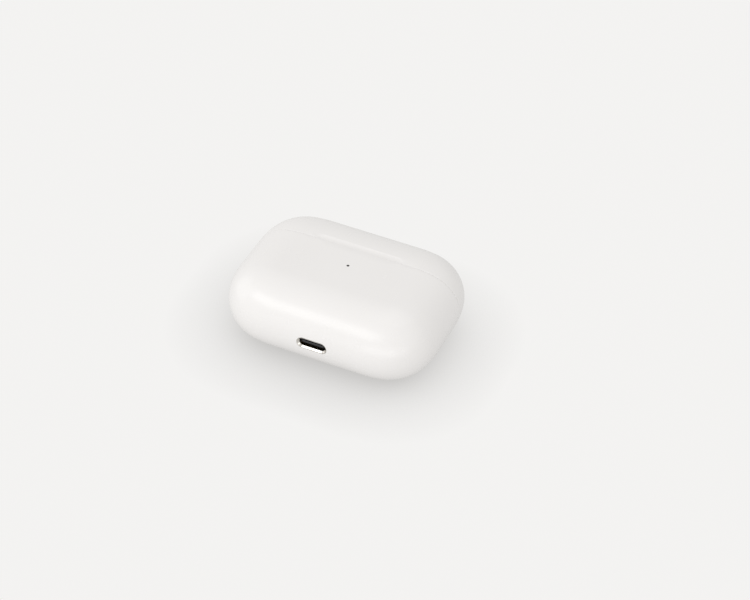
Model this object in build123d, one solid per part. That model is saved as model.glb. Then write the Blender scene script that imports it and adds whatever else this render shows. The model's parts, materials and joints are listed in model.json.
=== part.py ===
"""Wireless earbuds charging case, lying on its back with the lid closed.

Row frame, in millimetres: X across the case, Y from the charging port (-Y) towards the top of the
lid (+Y), Z from the back, which lies on z = 0, up to the front face. The origin is the middle of the
bottom of the bounding box. Every piece of the real assembly is its own STEP file in parts/.
"""

from build123d import *
from math import cos, radians, sin, sqrt
import os

# Outer shape: a pebble with flat faces, an edge that rolls off in two tangent arcs, and soft corners.
CASE_WIDTH = 60.6
CASE_HEIGHT = 45.2
CASE_THICKNESS = 21.7
CROWN_RADIUS = 19.7
CROWN_ANGLE = 18.2
FACE_CORNER_RADIUS = 0.7
CORNER_LEAD_RADIUS = 26.5
CORNER_LEAD_ANGLE = 12.2
SHELL_WALL = 1.3
LINER_WALL = 0.8

# Seam between body and lid, and the thumb scoop in the lid's front edge.
SEAM_Y = 7.1
SEAM_GAP = 0.08
SCOOP_WIDTH = 25.5
SCOOP_HEIGHT = 2.2
SCOOP_DEPTH = 0.4

# Hinge across the back.
HINGE_RADIUS = 1.2
HINGE_SKIN = 0.05
HINGE_PIN_RADIUS = 0.6
HINGE_HALF_LENGTH = 12.0
HINGE_ARM_HALF_LENGTH = 7.9
HINGE_OPEN_ANGLE = 100.0
HINGE_FRAME_REACH = 4.4
HINGE_ARM_NECK = 2.6
ARM_STAKE_X = 5.0
ARM_STAKE_REACH = 3.8
FRAME_STAKE_X = 9.0
FRAME_STAKE_INSET = 1.1
SPRING_HALF_LENGTH = 5.5
SPRING_THICKNESS = 0.22
PLATE_THICKNESS = 0.8
STAKE_RADIUS = 0.6
STAKE_HEAD = 0.45

# Earbud, right-hand one; the left-hand one is its mirror image.
HEAD_X = 15.0
HEAD_Y = 10.8
HEAD_Z = 10.6
HEAD_HALF_DEPTH = 6.3
HEAD_RADIUS = 7.2
NOZZLE_TILT = 14.0
NOZZLE_RADIUS = 2.4
NOZZLE_WALL = 0.4
NOZZLE_REACH = 10.2
MOUTH_DEPTH = 0.5
GRILLE_THICKNESS = 0.3
TIP_RADIUS = 5.2
TIP_START = 7.4
TIP_LENGTH = 5.3
TIP_SKIN = 0.55
STEM_X = 18.0
STEM_Z = 12.4
STEM_RADIUS = 2.85
STEM_END_Y = -12.6
CONTACT_BAND = 0.9
CONTACT_SPLIT = 0.4
VENT_WIDTH = 5.2
VENT_HEIGHT = 2.2
VENT_THICKNESS = 0.3

# Tray.
DECK_TOP_Y = 6.8
DECK_THICKNESS = 2.2
WELL_WALL = 0.9
WELL_FLOOR = 1.0

# Charging contacts of the wells.
CONTACT_PIN_RADIUS = 0.4
CONTACT_PIN_LENGTH = 2.7
CONTACT_PIN_SPACING = 2.6
CONTACT_BLOCK_DEPTH = 2.45
CONTACT_BLOCK_WIDTH = 6.0
CONTACT_BLOCK_HEIGHT = 3.2
CONTACT_PIN_PRELOAD = 0.08

# Port in the bottom end.
PORT_WIDTH = 8.8
PORT_HEIGHT = 3.6
PORT_DEPTH = 5.4
PORT_METAL = 0.3
PORT_TRIM_LIP = 0.65
PORT_LEAD_IN = 0.55
PORT_SLEEVE_INSET = 0.15
TONGUE_THICKNESS = 0.7
TONGUE_SIDE_GAP = 1.3
TONGUE_SETBACK = 1.0
PORT_CONTACT_COUNT = 12
PORT_CONTACT_PITCH = 0.5
PORT_CONTACT_WIDTH = 0.26
PORT_CONTACT_SETBACK = 1.6
BRACKET_SCREW_OFFSET = 2.6
BRACKET_HEIGHT = 3.4
BRACKET_THICKNESS = 0.55

# Boards, battery, coil, button and light.
BOARD_WIDTH = 25.0
BOARD_THICKNESS = 0.8
BOARD_BOTTOM_Z = 4.3
BOARD_LOW_Y = -18.0
BOARD_HIGH_Y = 0.2
BOARD_SCREW_X = 7.0
BOARD_SCREW_Y = -16.3
BOARD_SCREW_TIP_Z = 2.6
BATTERY_WIDTH = 23.0
BATTERY_LENGTH = 15.6
BATTERY_THICKNESS = 4.9
BATTERY_LOW_Y = -13.3
BATTERY_GAP = 0.3
BATTERY_LIFT = 1.6
COIL_WIDTH = 27.0
COIL_HEIGHT = 13.0
COIL_BAND = 3.2
COIL_THICKNESS = 0.8
COIL_LIFT = 0.27
FERRITE_THICKNESS = 0.4
BUTTON_RADIUS = 2.5
BUTTON_Y = -6.3
BUTTON_RECESS = 0.1
BUTTON_TRAVEL = 0.3
SWITCH_HEIGHT = 1.1
LIGHT_RADIUS = 0.35
CLOSURE_MAGNET = (5.0, 2.2, 2.0)
MAGNET_X = 5.6
MAGNET_PAD_DEPTH = 3.0
SCREW_RADIUS = 0.5
SCREW_HEAD_RADIUS = 1.0
SCREW_HEAD_HEIGHT = 0.5
BOSS_RADIUS = 1.2
FLEX_THICKNESS = 0.2

# Clearances.
FIT = 0.05
RUNNING = 0.05
SWING = 0.12
BUD_CLEARANCE = 0.3
GLUE_GAP = 0.02

# Worked out from the sizes above.
MID_Z = CASE_THICKNESS / 2
PORT_END_Y = -CASE_HEIGHT / 2
EDGE_RADIUS = (MID_Z - CROWN_RADIUS * (1 - cos(radians(CROWN_ANGLE)))) / cos(radians(CROWN_ANGLE))
EDGE_DEPTH = CROWN_RADIUS * sin(radians(CROWN_ANGLE)) + EDGE_RADIUS * (1 - sin(radians(CROWN_ANGLE)))
CORNER_RADIUS = EDGE_DEPTH + FACE_CORNER_RADIUS
HINGE_Z = HINGE_RADIUS + HINGE_SKIN
SWING_RADIUS = HINGE_Z + SWING
HINGE_ROOM_TOP_Z = HINGE_Z + HINGE_RADIUS + SPRING_THICKNESS + 0.38
FRONT_INNER_Z = CASE_THICKNESS - SHELL_WALL
BACK_INNER_Z = SHELL_WALL
PLATE_LOW_Z = BACK_INNER_Z + FIT
PLATE_TOP_Z = PLATE_LOW_Z + PLATE_THICKNESS
ARM_STAKE_Y = SEAM_Y + ARM_STAKE_REACH
FRAME_STAKE_Y = SEAM_Y - HINGE_FRAME_REACH - FRAME_STAKE_INSET
LINER_OUT = SHELL_WALL + FIT
LINER_START_Y = SEAM_Y + 0.35
PAD_LOW_Z = CASE_THICKNESS - LINER_OUT - MAGNET_PAD_DEPTH
LID_MAGNET_Y = LINER_START_Y + 0.5
LID_MAGNET_Z = CASE_THICKNESS - LINER_OUT - 0.4
CASE_MAGNET_Y = DECK_TOP_Y - DECK_THICKNESS - CLOSURE_MAGNET[1] - FIT
CASE_MAGNET_Z = FRONT_INNER_Z - 0.7
HEAD_CENTRE = Vector(HEAD_X, HEAD_Y, HEAD_Z)
NOZZLE_AXIS = Vector(-cos(radians(NOZZLE_TILT)), 0, -sin(radians(NOZZLE_TILT)))
WELL_RADIUS = STEM_RADIUS + BUD_CLEARANCE
WELL_BOTTOM_Y = STEM_END_Y - BUD_CLEARANCE
BLOCK_TOP_Y = WELL_BOTTOM_Y - WELL_FLOOR - FIT
PIN_TIP_Y = STEM_END_Y - CONTACT_PIN_PRELOAD
BRACKET_SCREW_X = PORT_WIDTH / 2 + BRACKET_SCREW_OFFSET
BRACKET_Y = PORT_END_Y + PORT_DEPTH
BOARD_TOP_Z = BOARD_BOTTOM_Z + BOARD_THICKNESS
BATTERY_LOW_Z = BOARD_TOP_Z + BATTERY_LIFT
BATTERY_TOP_Z = BATTERY_LOW_Z + 2 * BATTERY_THICKNESS + BATTERY_GAP
BATTERY_FLEX_Y = BATTERY_LOW_Y - FIT
LED_BOARD_Z = BATTERY_TOP_Z + 1.4
SWITCH_LOW_Z = BOARD_BOTTOM_Z - SWITCH_HEIGHT
# The back wall starts to rise where its flat face ends, so the coil lies higher by that rise.
COIL_OVERHANG = max(0.0, PORT_END_Y + EDGE_DEPTH - (BUTTON_Y - COIL_HEIGHT / 2))
CROWN_INNER_RADIUS = CROWN_RADIUS - SHELL_WALL
COIL_WALL_RISE = CROWN_INNER_RADIUS - sqrt(CROWN_INNER_RADIUS ** 2 - COIL_OVERHANG ** 2)
COIL_LOW_Z = BACK_INNER_Z + COIL_WALL_RISE + COIL_LIFT
FERRITE_LOW_Z = COIL_LOW_Z + COIL_THICKNESS + FIT
FAR = 100.0


def box_between(x0, x1, y0, y1, z0, z1):
    """Box from its two opposite corners."""
    size = (x1 - x0, y1 - y0, z1 - z0)
    middle = ((x0 + x1) / 2, (y0 + y1) / 2, (z0 + z1) / 2)
    return Pos(*middle) * Box(*size)


def rod(start, direction, radius, length):
    """Round rod from a start point along a direction."""
    plane = Plane(origin=start, z_dir=direction)
    return extrude(plane * Circle(radius), length)


def racetrack_along_y(width, height, y0, y1):
    """Stadium-shaped bar along Y, centred on the port's axis."""
    plane = Plane(origin=(0, y0, MID_Z), x_dir=(1, 0, 0), z_dir=(0, 1, 0))
    return extrude(plane * SlotOverall(width, height), y1 - y0)


def group(solids):
    """Separate solids that share one node."""
    return Compound(children=[part for shape in solids for part in shape.solids()])


def both_sides(shape):
    """A shape at +X together with its mirror image at -X."""
    return [shape, mirror(shape, Plane.YZ)]


def corner_arcs(inset):
    """Centre, radius and angles of the three tangent arcs that turn one corner of the plan outline."""
    lead = radians(CORNER_LEAD_ANGLE)
    step = CORNER_LEAD_RADIUS - CORNER_RADIUS
    reach = CORNER_LEAD_RADIUS - step * (cos(lead) - sin(lead))
    first = Vector(CASE_WIDTH / 2 - CORNER_LEAD_RADIUS, CASE_HEIGHT / 2 - reach)
    middle = first + Vector(cos(lead), sin(lead)) * step
    last = middle - Vector(sin(lead), cos(lead)) * step
    return [
        (first, CORNER_LEAD_RADIUS - inset, 0, CORNER_LEAD_ANGLE),
        (middle, CORNER_RADIUS - inset, CORNER_LEAD_ANGLE, 90 - CORNER_LEAD_ANGLE),
        (last, CORNER_LEAD_RADIUS - inset, 90 - CORNER_LEAD_ANGLE, 90),
    ]


def outline(inset):
    """Closed plan outline of the case, drawn inwards by inset, in the XY plane."""
    quarter = []
    for centre, radius, start, end in corner_arcs(inset):
        ends = [centre + Vector(cos(radians(a)), sin(radians(a))) * radius
                for a in (start, (start + end) / 2, end)]
        quarter.append(ThreePointArc(*ends))
    half = quarter + [mirror(arc, Plane.YZ) for arc in quarter]
    edges = half + [mirror(arc, Plane.XZ) for arc in half]
    side = quarter[0] @ 0
    top = quarter[-1] @ 1
    for sign in (1, -1):
        edges.append(Line((sign * side.X, side.Y), (sign * side.X, -side.Y)))
        edges.append(Line((top.X, sign * top.Y), (-top.X, sign * top.Y)))
    return Wire([edge for line in edges for edge in line.edges()])


def pebble(inset=0.0):
    """The case's outer form, moved inwards by inset all over: a flat core and the rolled edge round it."""
    angle = radians(CROWN_ANGLE)
    lap = FACE_CORNER_RADIUS / 2
    core_x = CASE_WIDTH / 2 - EDGE_DEPTH
    crown_centre = Vector(core_x, 0, CASE_THICKNESS - CROWN_RADIUS)
    edge_centre = crown_centre + Vector(sin(angle), 0, cos(angle)) * (CROWN_RADIUS - EDGE_RADIUS)

    def on_arc(centre, radius, turn, top):
        point = centre + Vector(sin(turn), 0, cos(turn)) * (radius - inset)
        return point if top else Vector(point.X, 0, CASE_THICKNESS - point.Z)

    edges = []
    for top in (True, False):
        crown = [on_arc(crown_centre, CROWN_RADIUS, turn, top) for turn in (0, angle / 2, angle)]
        turns = (angle, (angle + radians(90)) / 2, radians(90))
        edge = [on_arc(edge_centre, EDGE_RADIUS, turn, top) for turn in turns]
        edges += [Line(crown[0] - Vector(lap, 0, 0), crown[0]), ThreePointArc(*crown), ThreePointArc(*edge)]
    edges.append(Line((core_x - lap, 0, inset), (core_x - lap, 0, CASE_THICKNESS - inset)))
    ring = sweep(Face(Wire([line.edge() for line in edges])), path=outline(0))
    core = extrude(Face(outline(EDGE_DEPTH + lap / 2)), CASE_THICKNESS - 2 * inset)
    return ring + Pos(0, 0, inset) * core


def above(y):
    """Everything on the lid's side of a plane of constant Y."""
    return box_between(-FAR, FAR, y, FAR, -FAR, FAR)


def below(y):
    """Everything on the port's side of a plane of constant Y."""
    return box_between(-FAR, FAR, -FAR, y, -FAR, FAR)


def hinge_rod(radius, x0, x1):
    """Rod about the hinge axis from x0 to x1."""
    return rod((x0, SEAM_Y, HINGE_Z), (1, 0, 0), radius, x1 - x0)


def swing_space(half_length):
    """What the lid's back edge sweeps behind the seam: a round groove and the wedge up to full open."""
    angle = radians(HINGE_OPEN_ANGLE)
    normal = Vector(0, -sin(angle), -cos(angle))
    along = Vector(0, cos(angle), -sin(angle))
    axis = Vector(-half_length, SEAM_Y, HINGE_Z)
    reach = 3 * HINGE_Z
    corners = [axis, axis + normal * SWING_RADIUS]
    corners.append(corners[-1] + along * reach)
    corners.append(axis - Vector(0, 0, reach))
    wedge = extrude(Face(Wire.make_polygon(corners, close=True)), 2 * half_length, dir=(1, 0, 0))
    return hinge_rod(SWING_RADIUS, -half_length, half_length) + wedge


def stakes(y, x):
    """Two heat stakes that stand on the back wall and hold a hinge plate."""
    height = PLATE_THICKNESS + STAKE_HEAD
    return [Pos(sign * x, y, BACK_INNER_Z) * Cylinder(STAKE_RADIUS, height, align=BASE) for sign in (1, -1)]


def stake_holes(y, x):
    """Clearance holes for the stakes."""
    return [Pos(sign * x, y, 0) * Cylinder(STAKE_RADIUS + FIT, FAR) for sign in (1, -1)]


BASE = (Align.CENTER, Align.CENTER, Align.MIN)
OUTER = pebble()
CAVITY = pebble(SHELL_WALL)


# Shells ---------------------------------------------------------------------------------------------
def thumb_scoop():
    """Long capsule that takes a shallow scoop with rounded ends out of the lid's front edge."""
    radius = SCOOP_HEIGHT ** 2 / (2 * SCOOP_DEPTH)
    half = SCOOP_WIDTH / 2 - SCOOP_HEIGHT
    centre = Vector(0, SEAM_Y, CASE_THICKNESS + radius - SCOOP_DEPTH)
    scoop = rod(centre - Vector(half, 0, 0), (1, 0, 0), radius, 2 * half)
    for sign in (1, -1):
        scoop += Pos(*(centre + Vector(sign * half, 0, 0))) * Sphere(radius)
    return scoop


def screw_bosses():
    """Two screw bosses for the main board, and two for the port bracket."""
    board = Pos(BOARD_SCREW_X, BOARD_SCREW_Y, 0) * Cylinder(BOSS_RADIUS, BOARD_BOTTOM_Z, align=BASE)
    port = rod((BRACKET_SCREW_X, PORT_END_Y, MID_Z), (0, 1, 0), BOSS_RADIUS, PORT_DEPTH)
    return both_sides(board) + both_sides(port)


def screw_holes():
    """Blind holes of the four screws."""
    board = Pos(BOARD_SCREW_X, BOARD_SCREW_Y, BOARD_SCREW_TIP_Z - FIT)
    board = board * Cylinder(SCREW_RADIUS + FIT, BOARD_TOP_Z, align=BASE)
    port = rod((BRACKET_SCREW_X, BRACKET_Y - 3, MID_Z), (0, 1, 0), SCREW_RADIUS + FIT, 4)
    return both_sides(board) + both_sides(port)


def body_shell():
    """Lower shell: the pebble's wall up to the seam, with its port, button, light and hinge openings."""
    shell = (OUTER - CAVITY) & below(SEAM_Y - SEAM_GAP / 2)
    inside = pebble(SHELL_WALL / 2)
    for boss in screw_bosses():
        shell += boss & inside
    for hole in screw_holes():
        shell -= hole
    for stake in stakes(FRAME_STAKE_Y, FRAME_STAKE_X):
        shell += stake
    shell -= swing_space(CASE_WIDTH)
    window = HINGE_HALF_LENGTH + FIT
    shell -= box_between(-window, window, SEAM_Y - HINGE_FRAME_REACH - FIT, SEAM_Y, -1, BACK_INNER_Z + 0.02)
    shell -= racetrack_along_y(PORT_WIDTH + 2 * FIT, PORT_HEIGHT + 2 * FIT, -FAR, BRACKET_Y - 1)
    shell -= Pos(0, BUTTON_Y, 0) * Cylinder(BUTTON_RADIUS + RUNNING, 4)
    shell -= Pos(0, 0, CASE_THICKNESS) * Cylinder(LIGHT_RADIUS + FIT, 4)
    return shell


def lid_shell():
    """Upper shell: the wall beyond the seam, the barrel along its back edge and the thumb scoop."""
    shell = (OUTER - CAVITY) & above(SEAM_Y + SEAM_GAP / 2)
    for barrel in both_sides(hinge_rod(HINGE_RADIUS, HINGE_HALF_LENGTH + SWING, CASE_WIDTH / 2)):
        shell += barrel & OUTER
    shell -= hinge_rod(SWING_RADIUS, -HINGE_HALF_LENGTH - SWING, HINGE_HALF_LENGTH + SWING)
    notch = HINGE_ARM_HALF_LENGTH + FIT
    shell -= box_between(-notch, notch, SEAM_Y, SEAM_Y + HINGE_ARM_NECK + FIT, -1, PLATE_TOP_Z + FIT)
    for stake in stakes(ARM_STAKE_Y, ARM_STAKE_X):
        shell += stake
    return shell - thumb_scoop()


def magnet_boxes(y0, z1, grow=0.0):
    """The two bar magnets across the front, as boxes grown by a clearance."""
    width, height, depth = CLOSURE_MAGNET
    bar = box_between(MAGNET_X - width / 2 - grow, MAGNET_X + width / 2 + grow, y0 - grow,
                      y0 + height + grow, z1 - depth - grow, z1 + grow)
    return both_sides(bar)


def lid_liner():
    """Inner skin of the lid, with a thick pad behind the front edge that holds the closure magnets."""
    skin = pebble(LINER_OUT)
    liner = skin - pebble(LINER_OUT + LINER_WALL)
    half = MAGNET_X + CLOSURE_MAGNET[0] / 2 + 0.6
    pad = box_between(-half, half, LINER_START_Y, LINER_START_Y + CLOSURE_MAGNET[1] + 1.6, PAD_LOW_Z, FAR)
    liner += pad & skin
    liner &= above(LINER_START_Y)
    liner -= hinge_rod(SWING_RADIUS + SWING, -CASE_WIDTH / 2, CASE_WIDTH / 2)
    window = HINGE_ARM_HALF_LENGTH + 0.3
    liner -= box_between(-window, window, SEAM_Y, ARM_STAKE_Y + 1.8, 0, LINER_OUT + PLATE_THICKNESS + 1)
    for magnet in magnet_boxes(LID_MAGNET_Y, LID_MAGNET_Z, FIT):
        liner -= magnet
    return liner


# Hinge ----------------------------------------------------------------------------------------------
def hinge_frame():
    """Metal hinge half of the body: a bar flush with the back, two end knuckles and an inner flange."""
    knuckle = HINGE_ARM_HALF_LENGTH + RUNNING
    top = HINGE_Z + HINGE_RADIUS
    back_y = SEAM_Y - HINGE_FRAME_REACH
    bar = box_between(-HINGE_HALF_LENGTH, HINGE_HALF_LENGTH, back_y, SEAM_Y, HINGE_SKIN, top)
    bar -= swing_space(CASE_WIDTH)
    bar -= box_between(-knuckle, knuckle, SEAM_Y - SWING_RADIUS, SEAM_Y, -1, FAR)
    bar -= box_between(-SPRING_HALF_LENGTH - 0.2, SPRING_HALF_LENGTH + 0.2, SEAM_Y - 2.0, SEAM_Y, 0.9, FAR)
    flange = HINGE_HALF_LENGTH + 1.5
    flange_y = FRAME_STAKE_Y - 2 * STAKE_RADIUS
    bar += box_between(-flange, flange, flange_y, back_y + 0.5, PLATE_LOW_Z, PLATE_TOP_Z)
    for ear in both_sides(hinge_rod(HINGE_RADIUS, knuckle, HINGE_HALF_LENGTH)):
        bar += ear
    for arm in both_sides(box_between(knuckle, HINGE_HALF_LENGTH, back_y + 1, SEAM_Y, HINGE_Z, top)):
        bar += arm
    bar -= hinge_rod(HINGE_PIN_RADIUS + 0.01, -FAR, FAR)
    for hole in stake_holes(FRAME_STAKE_Y, FRAME_STAKE_X):
        bar -= hole
    return bar


def hinge_arm():
    """Metal hinge half of the lid: the middle knuckle, its neck and the plate staked inside the lid."""
    half = HINGE_ARM_HALF_LENGTH
    plate_y = ARM_STAKE_Y + 2 * STAKE_RADIUS
    arm = hinge_rod(HINGE_RADIUS, -half, half)
    arm += box_between(-half, half, SEAM_Y, SEAM_Y + HINGE_ARM_NECK, HINGE_SKIN, PLATE_TOP_Z)
    plate = box_between(-half, half, SEAM_Y + 1, plate_y, 0, PLATE_TOP_Z)
    arm += plate & pebble(LINER_OUT)
    arm -= hinge_rod(HINGE_PIN_RADIUS + RUNNING, -FAR, FAR)
    for hole in stake_holes(ARM_STAKE_Y, ARM_STAKE_X):
        arm -= hole
    return arm


def detent_spring():
    """Leaf spring on the hinge frame whose lip bears towards the middle knuckle."""
    top = HINGE_Z + HINGE_RADIUS + FIT
    lip_y = SEAM_Y - SWING_RADIUS - 0.05
    half = SPRING_HALF_LENGTH
    leaf = box_between(-half, half, lip_y - 2.5, lip_y, top, top + SPRING_THICKNESS)
    return leaf + box_between(-half, half, lip_y - SPRING_THICKNESS, lip_y, 1.0, top + 0.1)


# Tray and earbuds -----------------------------------------------------------------------------------
def turned(section):
    """Solid of revolution about the nozzle axis from a section drawn radius by distance."""
    plane = Plane(origin=HEAD_CENTRE, x_dir=(0, 1, 0), z_dir=NOZZLE_AXIS)
    return plane * revolve(Plane.XZ * section, Axis.Z)


def head_section(grow):
    """Half oval of the earbud's head: a tight arc round its waist between two flatter cap arcs."""
    root = sqrt(2)
    waist = (HEAD_HALF_DEPTH + HEAD_RADIUS - root * HEAD_RADIUS) / (2 - root)
    cap = HEAD_HALF_DEPTH + HEAD_RADIUS - waist

    def on_cap(turn, sign):
        distance = (cap + grow) * cos(radians(turn)) - (cap - HEAD_HALF_DEPTH)
        return ((cap + grow) * sin(radians(turn)), sign * distance)

    upper = [on_cap(turn, 1) for turn in (0, 22.5, 45)]
    lower = [on_cap(turn, -1) for turn in (45, 22.5, 0)]
    lines = [ThreePointArc(*upper), ThreePointArc(upper[2], (HEAD_RADIUS + grow, 0), lower[0])]
    lines += [ThreePointArc(*lower), Line(lower[2], upper[0])]
    return Face(Wire([line.edge() for line in lines]))


def head_form(grow=0.0):
    """The earbud's head without its nozzle: an ellipse turned about the nozzle axis."""
    return turned(head_section(grow))


def head_with_nozzle():
    """Head and nozzle in one turning, with a recess in the nozzle's mouth for the grille."""
    low = HEAD_HALF_DEPTH / 2
    nozzle = Pos(NOZZLE_RADIUS / 2, (low + NOZZLE_REACH) / 2) * Rectangle(NOZZLE_RADIUS, NOZZLE_REACH - low)
    mouth_radius = NOZZLE_RADIUS - NOZZLE_WALL
    mouth = Pos(mouth_radius / 2, NOZZLE_REACH) * Rectangle(mouth_radius, 2 * MOUTH_DEPTH)
    return turned(Sketch() + head_section(0) + nozzle - mouth)


def well_form(grow, tip_reach):
    """Head, tip and stem space of one earbud, grown by a clearance."""
    start = HEAD_CENTRE + NOZZLE_AXIS * (TIP_START - 1)
    space = head_form(grow)
    space += rod(start, NOZZLE_AXIS, TIP_RADIUS + grow, tip_reach)
    space += rod((STEM_X, STEM_END_Y - grow, STEM_Z), (0, 1, 0), STEM_RADIUS + grow, HEAD_Y - STEM_END_Y)
    return space


def bud_tray():
    """Tray that closes the body: a deck inside the rim with a well for each earbud."""
    wall = BUD_CLEARANCE + WELL_WALL
    deck = pebble(SHELL_WALL + FIT) & below(DECK_TOP_Y) & above(DECK_TOP_Y - DECK_THICKNESS)
    outside = (well_form(wall, TIP_LENGTH + 2.2) & below(DECK_TOP_Y - 0.1))
    outside += rod((STEM_X, WELL_BOTTOM_Y - WELL_FLOOR, STEM_Z), (0, 1, 0), WELL_RADIUS + WELL_WALL, 6)
    inside = well_form(BUD_CLEARANCE, TIP_LENGTH + 1.4)
    tray = deck
    for form in both_sides(outside):
        tray += form
    room = HINGE_HALF_LENGTH + 2.4
    tray -= box_between(-room, room, -FAR, FAR, -1, HINGE_ROOM_TOP_Z)
    tray -= hinge_rod(SWING_RADIUS + SWING, -CASE_WIDTH / 2, CASE_WIDTH / 2)
    for form in both_sides(inside):
        tray -= form
    for x in pin_places():
        tray -= rod((x, WELL_BOTTOM_Y - 3, STEM_Z), (0, 1, 0), CONTACT_PIN_RADIUS + RUNNING, 6)
    return tray


def pin_places():
    """X of the four spring contacts, left to right."""
    half = CONTACT_PIN_SPACING / 2
    return [-STEM_X - half, -STEM_X + half, STEM_X - half, STEM_X + half]


def vent_prism(grow):
    """Oval prism that marks the vent on the front of the head."""
    direction = Vector(0.25, 0.45, 0.86)
    plane = Plane(origin=HEAD_CENTRE, x_dir=Vector(0.96, -0.13, -0.21), z_dir=direction)
    return extrude(plane * SlotOverall(VENT_WIDTH + 2 * grow, VENT_HEIGHT + 2 * grow), 12)


def earbud():
    """Pieces of the right-hand earbud by name."""
    head = head_with_nozzle()
    stem = rod((STEM_X, STEM_END_Y + CONTACT_BAND, STEM_Z), (0, 1, 0), STEM_RADIUS, HEAD_Y - STEM_END_Y)
    stem = stem & below(HEAD_Y + 2)
    stem = stem - head_form(GLUE_GAP)
    stem = stem.solids().sort_by(Axis.Y)[0]
    skin = head_form() - head_form(-VENT_THICKNESS)
    vent = skin & vent_prism(0)
    head -= (head_form(1) - head_form(-VENT_THICKNESS - GLUE_GAP)) & vent_prism(GLUE_GAP)
    mouth = HEAD_CENTRE + NOZZLE_AXIS * (NOZZLE_REACH - MOUTH_DEPTH + GLUE_GAP)
    grille = rod(mouth, NOZZLE_AXIS, NOZZLE_RADIUS - NOZZLE_WALL - GLUE_GAP, GRILLE_THICKNESS)
    band_plane = Plane(origin=(STEM_X, STEM_END_Y, STEM_Z), z_dir=(0, 1, 0))
    band = extrude(band_plane * Circle(STEM_RADIUS), CONTACT_BAND - GLUE_GAP)
    band -= box_between(STEM_X - CONTACT_SPLIT / 2, STEM_X + CONTACT_SPLIT / 2, -FAR, FAR, 0, FAR)
    return {"head": head, "stem": stem, "vent_mesh": vent, "tip": ear_tip(), "nozzle_mesh": grille,
            "contacts": group([band])}


def ear_tip():
    """Soft tip: a sleeve on the nozzle and a dome that folds back over it."""
    bore = NOZZLE_RADIUS + 0.03
    end = TIP_START + TIP_LENGTH
    r, s = TIP_RADIUS, TIP_SKIN
    outer = Spline((bore, end - 0.35), (bore + 0.75, end), (0.8 * r, end - 1.0), (r, TIP_START + 1.7),
                   (0.94 * r, TIP_START), tangents=[(0.6, 1), (-0.35, -1)])
    inner = Spline((0.94 * r - s, TIP_START), (r - s, TIP_START + 1.7), (0.8 * r - s, end - 1.5),
                   (bore + s, end - 1.6), tangents=[(0.35, 1), (-1, -0.3)])
    outline_lines = [outer, Line(outer @ 1, inner @ 0), inner]
    outline_lines.append(Line(inner @ 1, (bore + s, TIP_START + 0.2)))
    outline_lines.append(Line((bore + s, TIP_START + 0.2), (bore, TIP_START + 0.2)))
    outline_lines.append(Line((bore, TIP_START + 0.2), outer @ 0))
    return turned(Face(Wire([line.edge() for line in outline_lines])))


# Contacts of the wells ------------------------------------------------------------------------------
def contact_block(x):
    """Plastic block under a well, bored for its two spring contacts."""
    half, reach = CONTACT_BLOCK_WIDTH / 2, CONTACT_BLOCK_HEIGHT / 2
    low_y = BLOCK_TOP_Y - CONTACT_BLOCK_DEPTH
    block = box_between(x - half, x + half, low_y, BLOCK_TOP_Y, STEM_Z - reach, STEM_Z + reach)
    for pin_x in pin_places():
        block -= rod((pin_x, BLOCK_TOP_Y - 2.1, STEM_Z), (0, 1, 0), CONTACT_PIN_RADIUS + RUNNING, 5)
    return block


def contact_pin(x):
    """Spring contact with a rounded tip."""
    pin = rod((x, PIN_TIP_Y - CONTACT_PIN_LENGTH, STEM_Z), (0, 1, 0), CONTACT_PIN_RADIUS, CONTACT_PIN_LENGTH)
    return fillet(pin.edges().sort_by(Axis.Y)[-1], CONTACT_PIN_RADIUS / 2)


def contact_flex(x):
    """Flexible strip from a contact block down to the main board."""
    y1 = BLOCK_TOP_Y - CONTACT_BLOCK_DEPTH - FIT
    low = BOARD_TOP_Z + FIT
    edge = BOARD_WIDTH / 2
    strip = box_between(x - 2.5, x + 0.5, y1 - FLEX_THICKNESS, y1, low, STEM_Z + 1.2)
    return strip + box_between(edge - 2, x, y1 - FLEX_THICKNESS, y1 + 1.3, low, low + FLEX_THICKNESS)


# Port -----------------------------------------------------------------------------------------------
def port_lead_in():
    """Funnel that flares at 45 degrees from the port's clear opening to outside the case."""
    ends = []
    for step in (1, -1):
        grow = PORT_LEAD_IN * (1 - step)
        plane = Plane(origin=(0, PORT_END_Y + step * PORT_LEAD_IN, MID_Z), x_dir=(1, 0, 0), z_dir=(0, 1, 0))
        opening_width = PORT_WIDTH - 2 * PORT_TRIM_LIP
        opening_height = PORT_HEIGHT - 2 * PORT_TRIM_LIP
        ends.append(plane * SlotOverall(opening_width + 2 * grow, opening_height + 2 * grow))
    return loft(ends)


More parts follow.
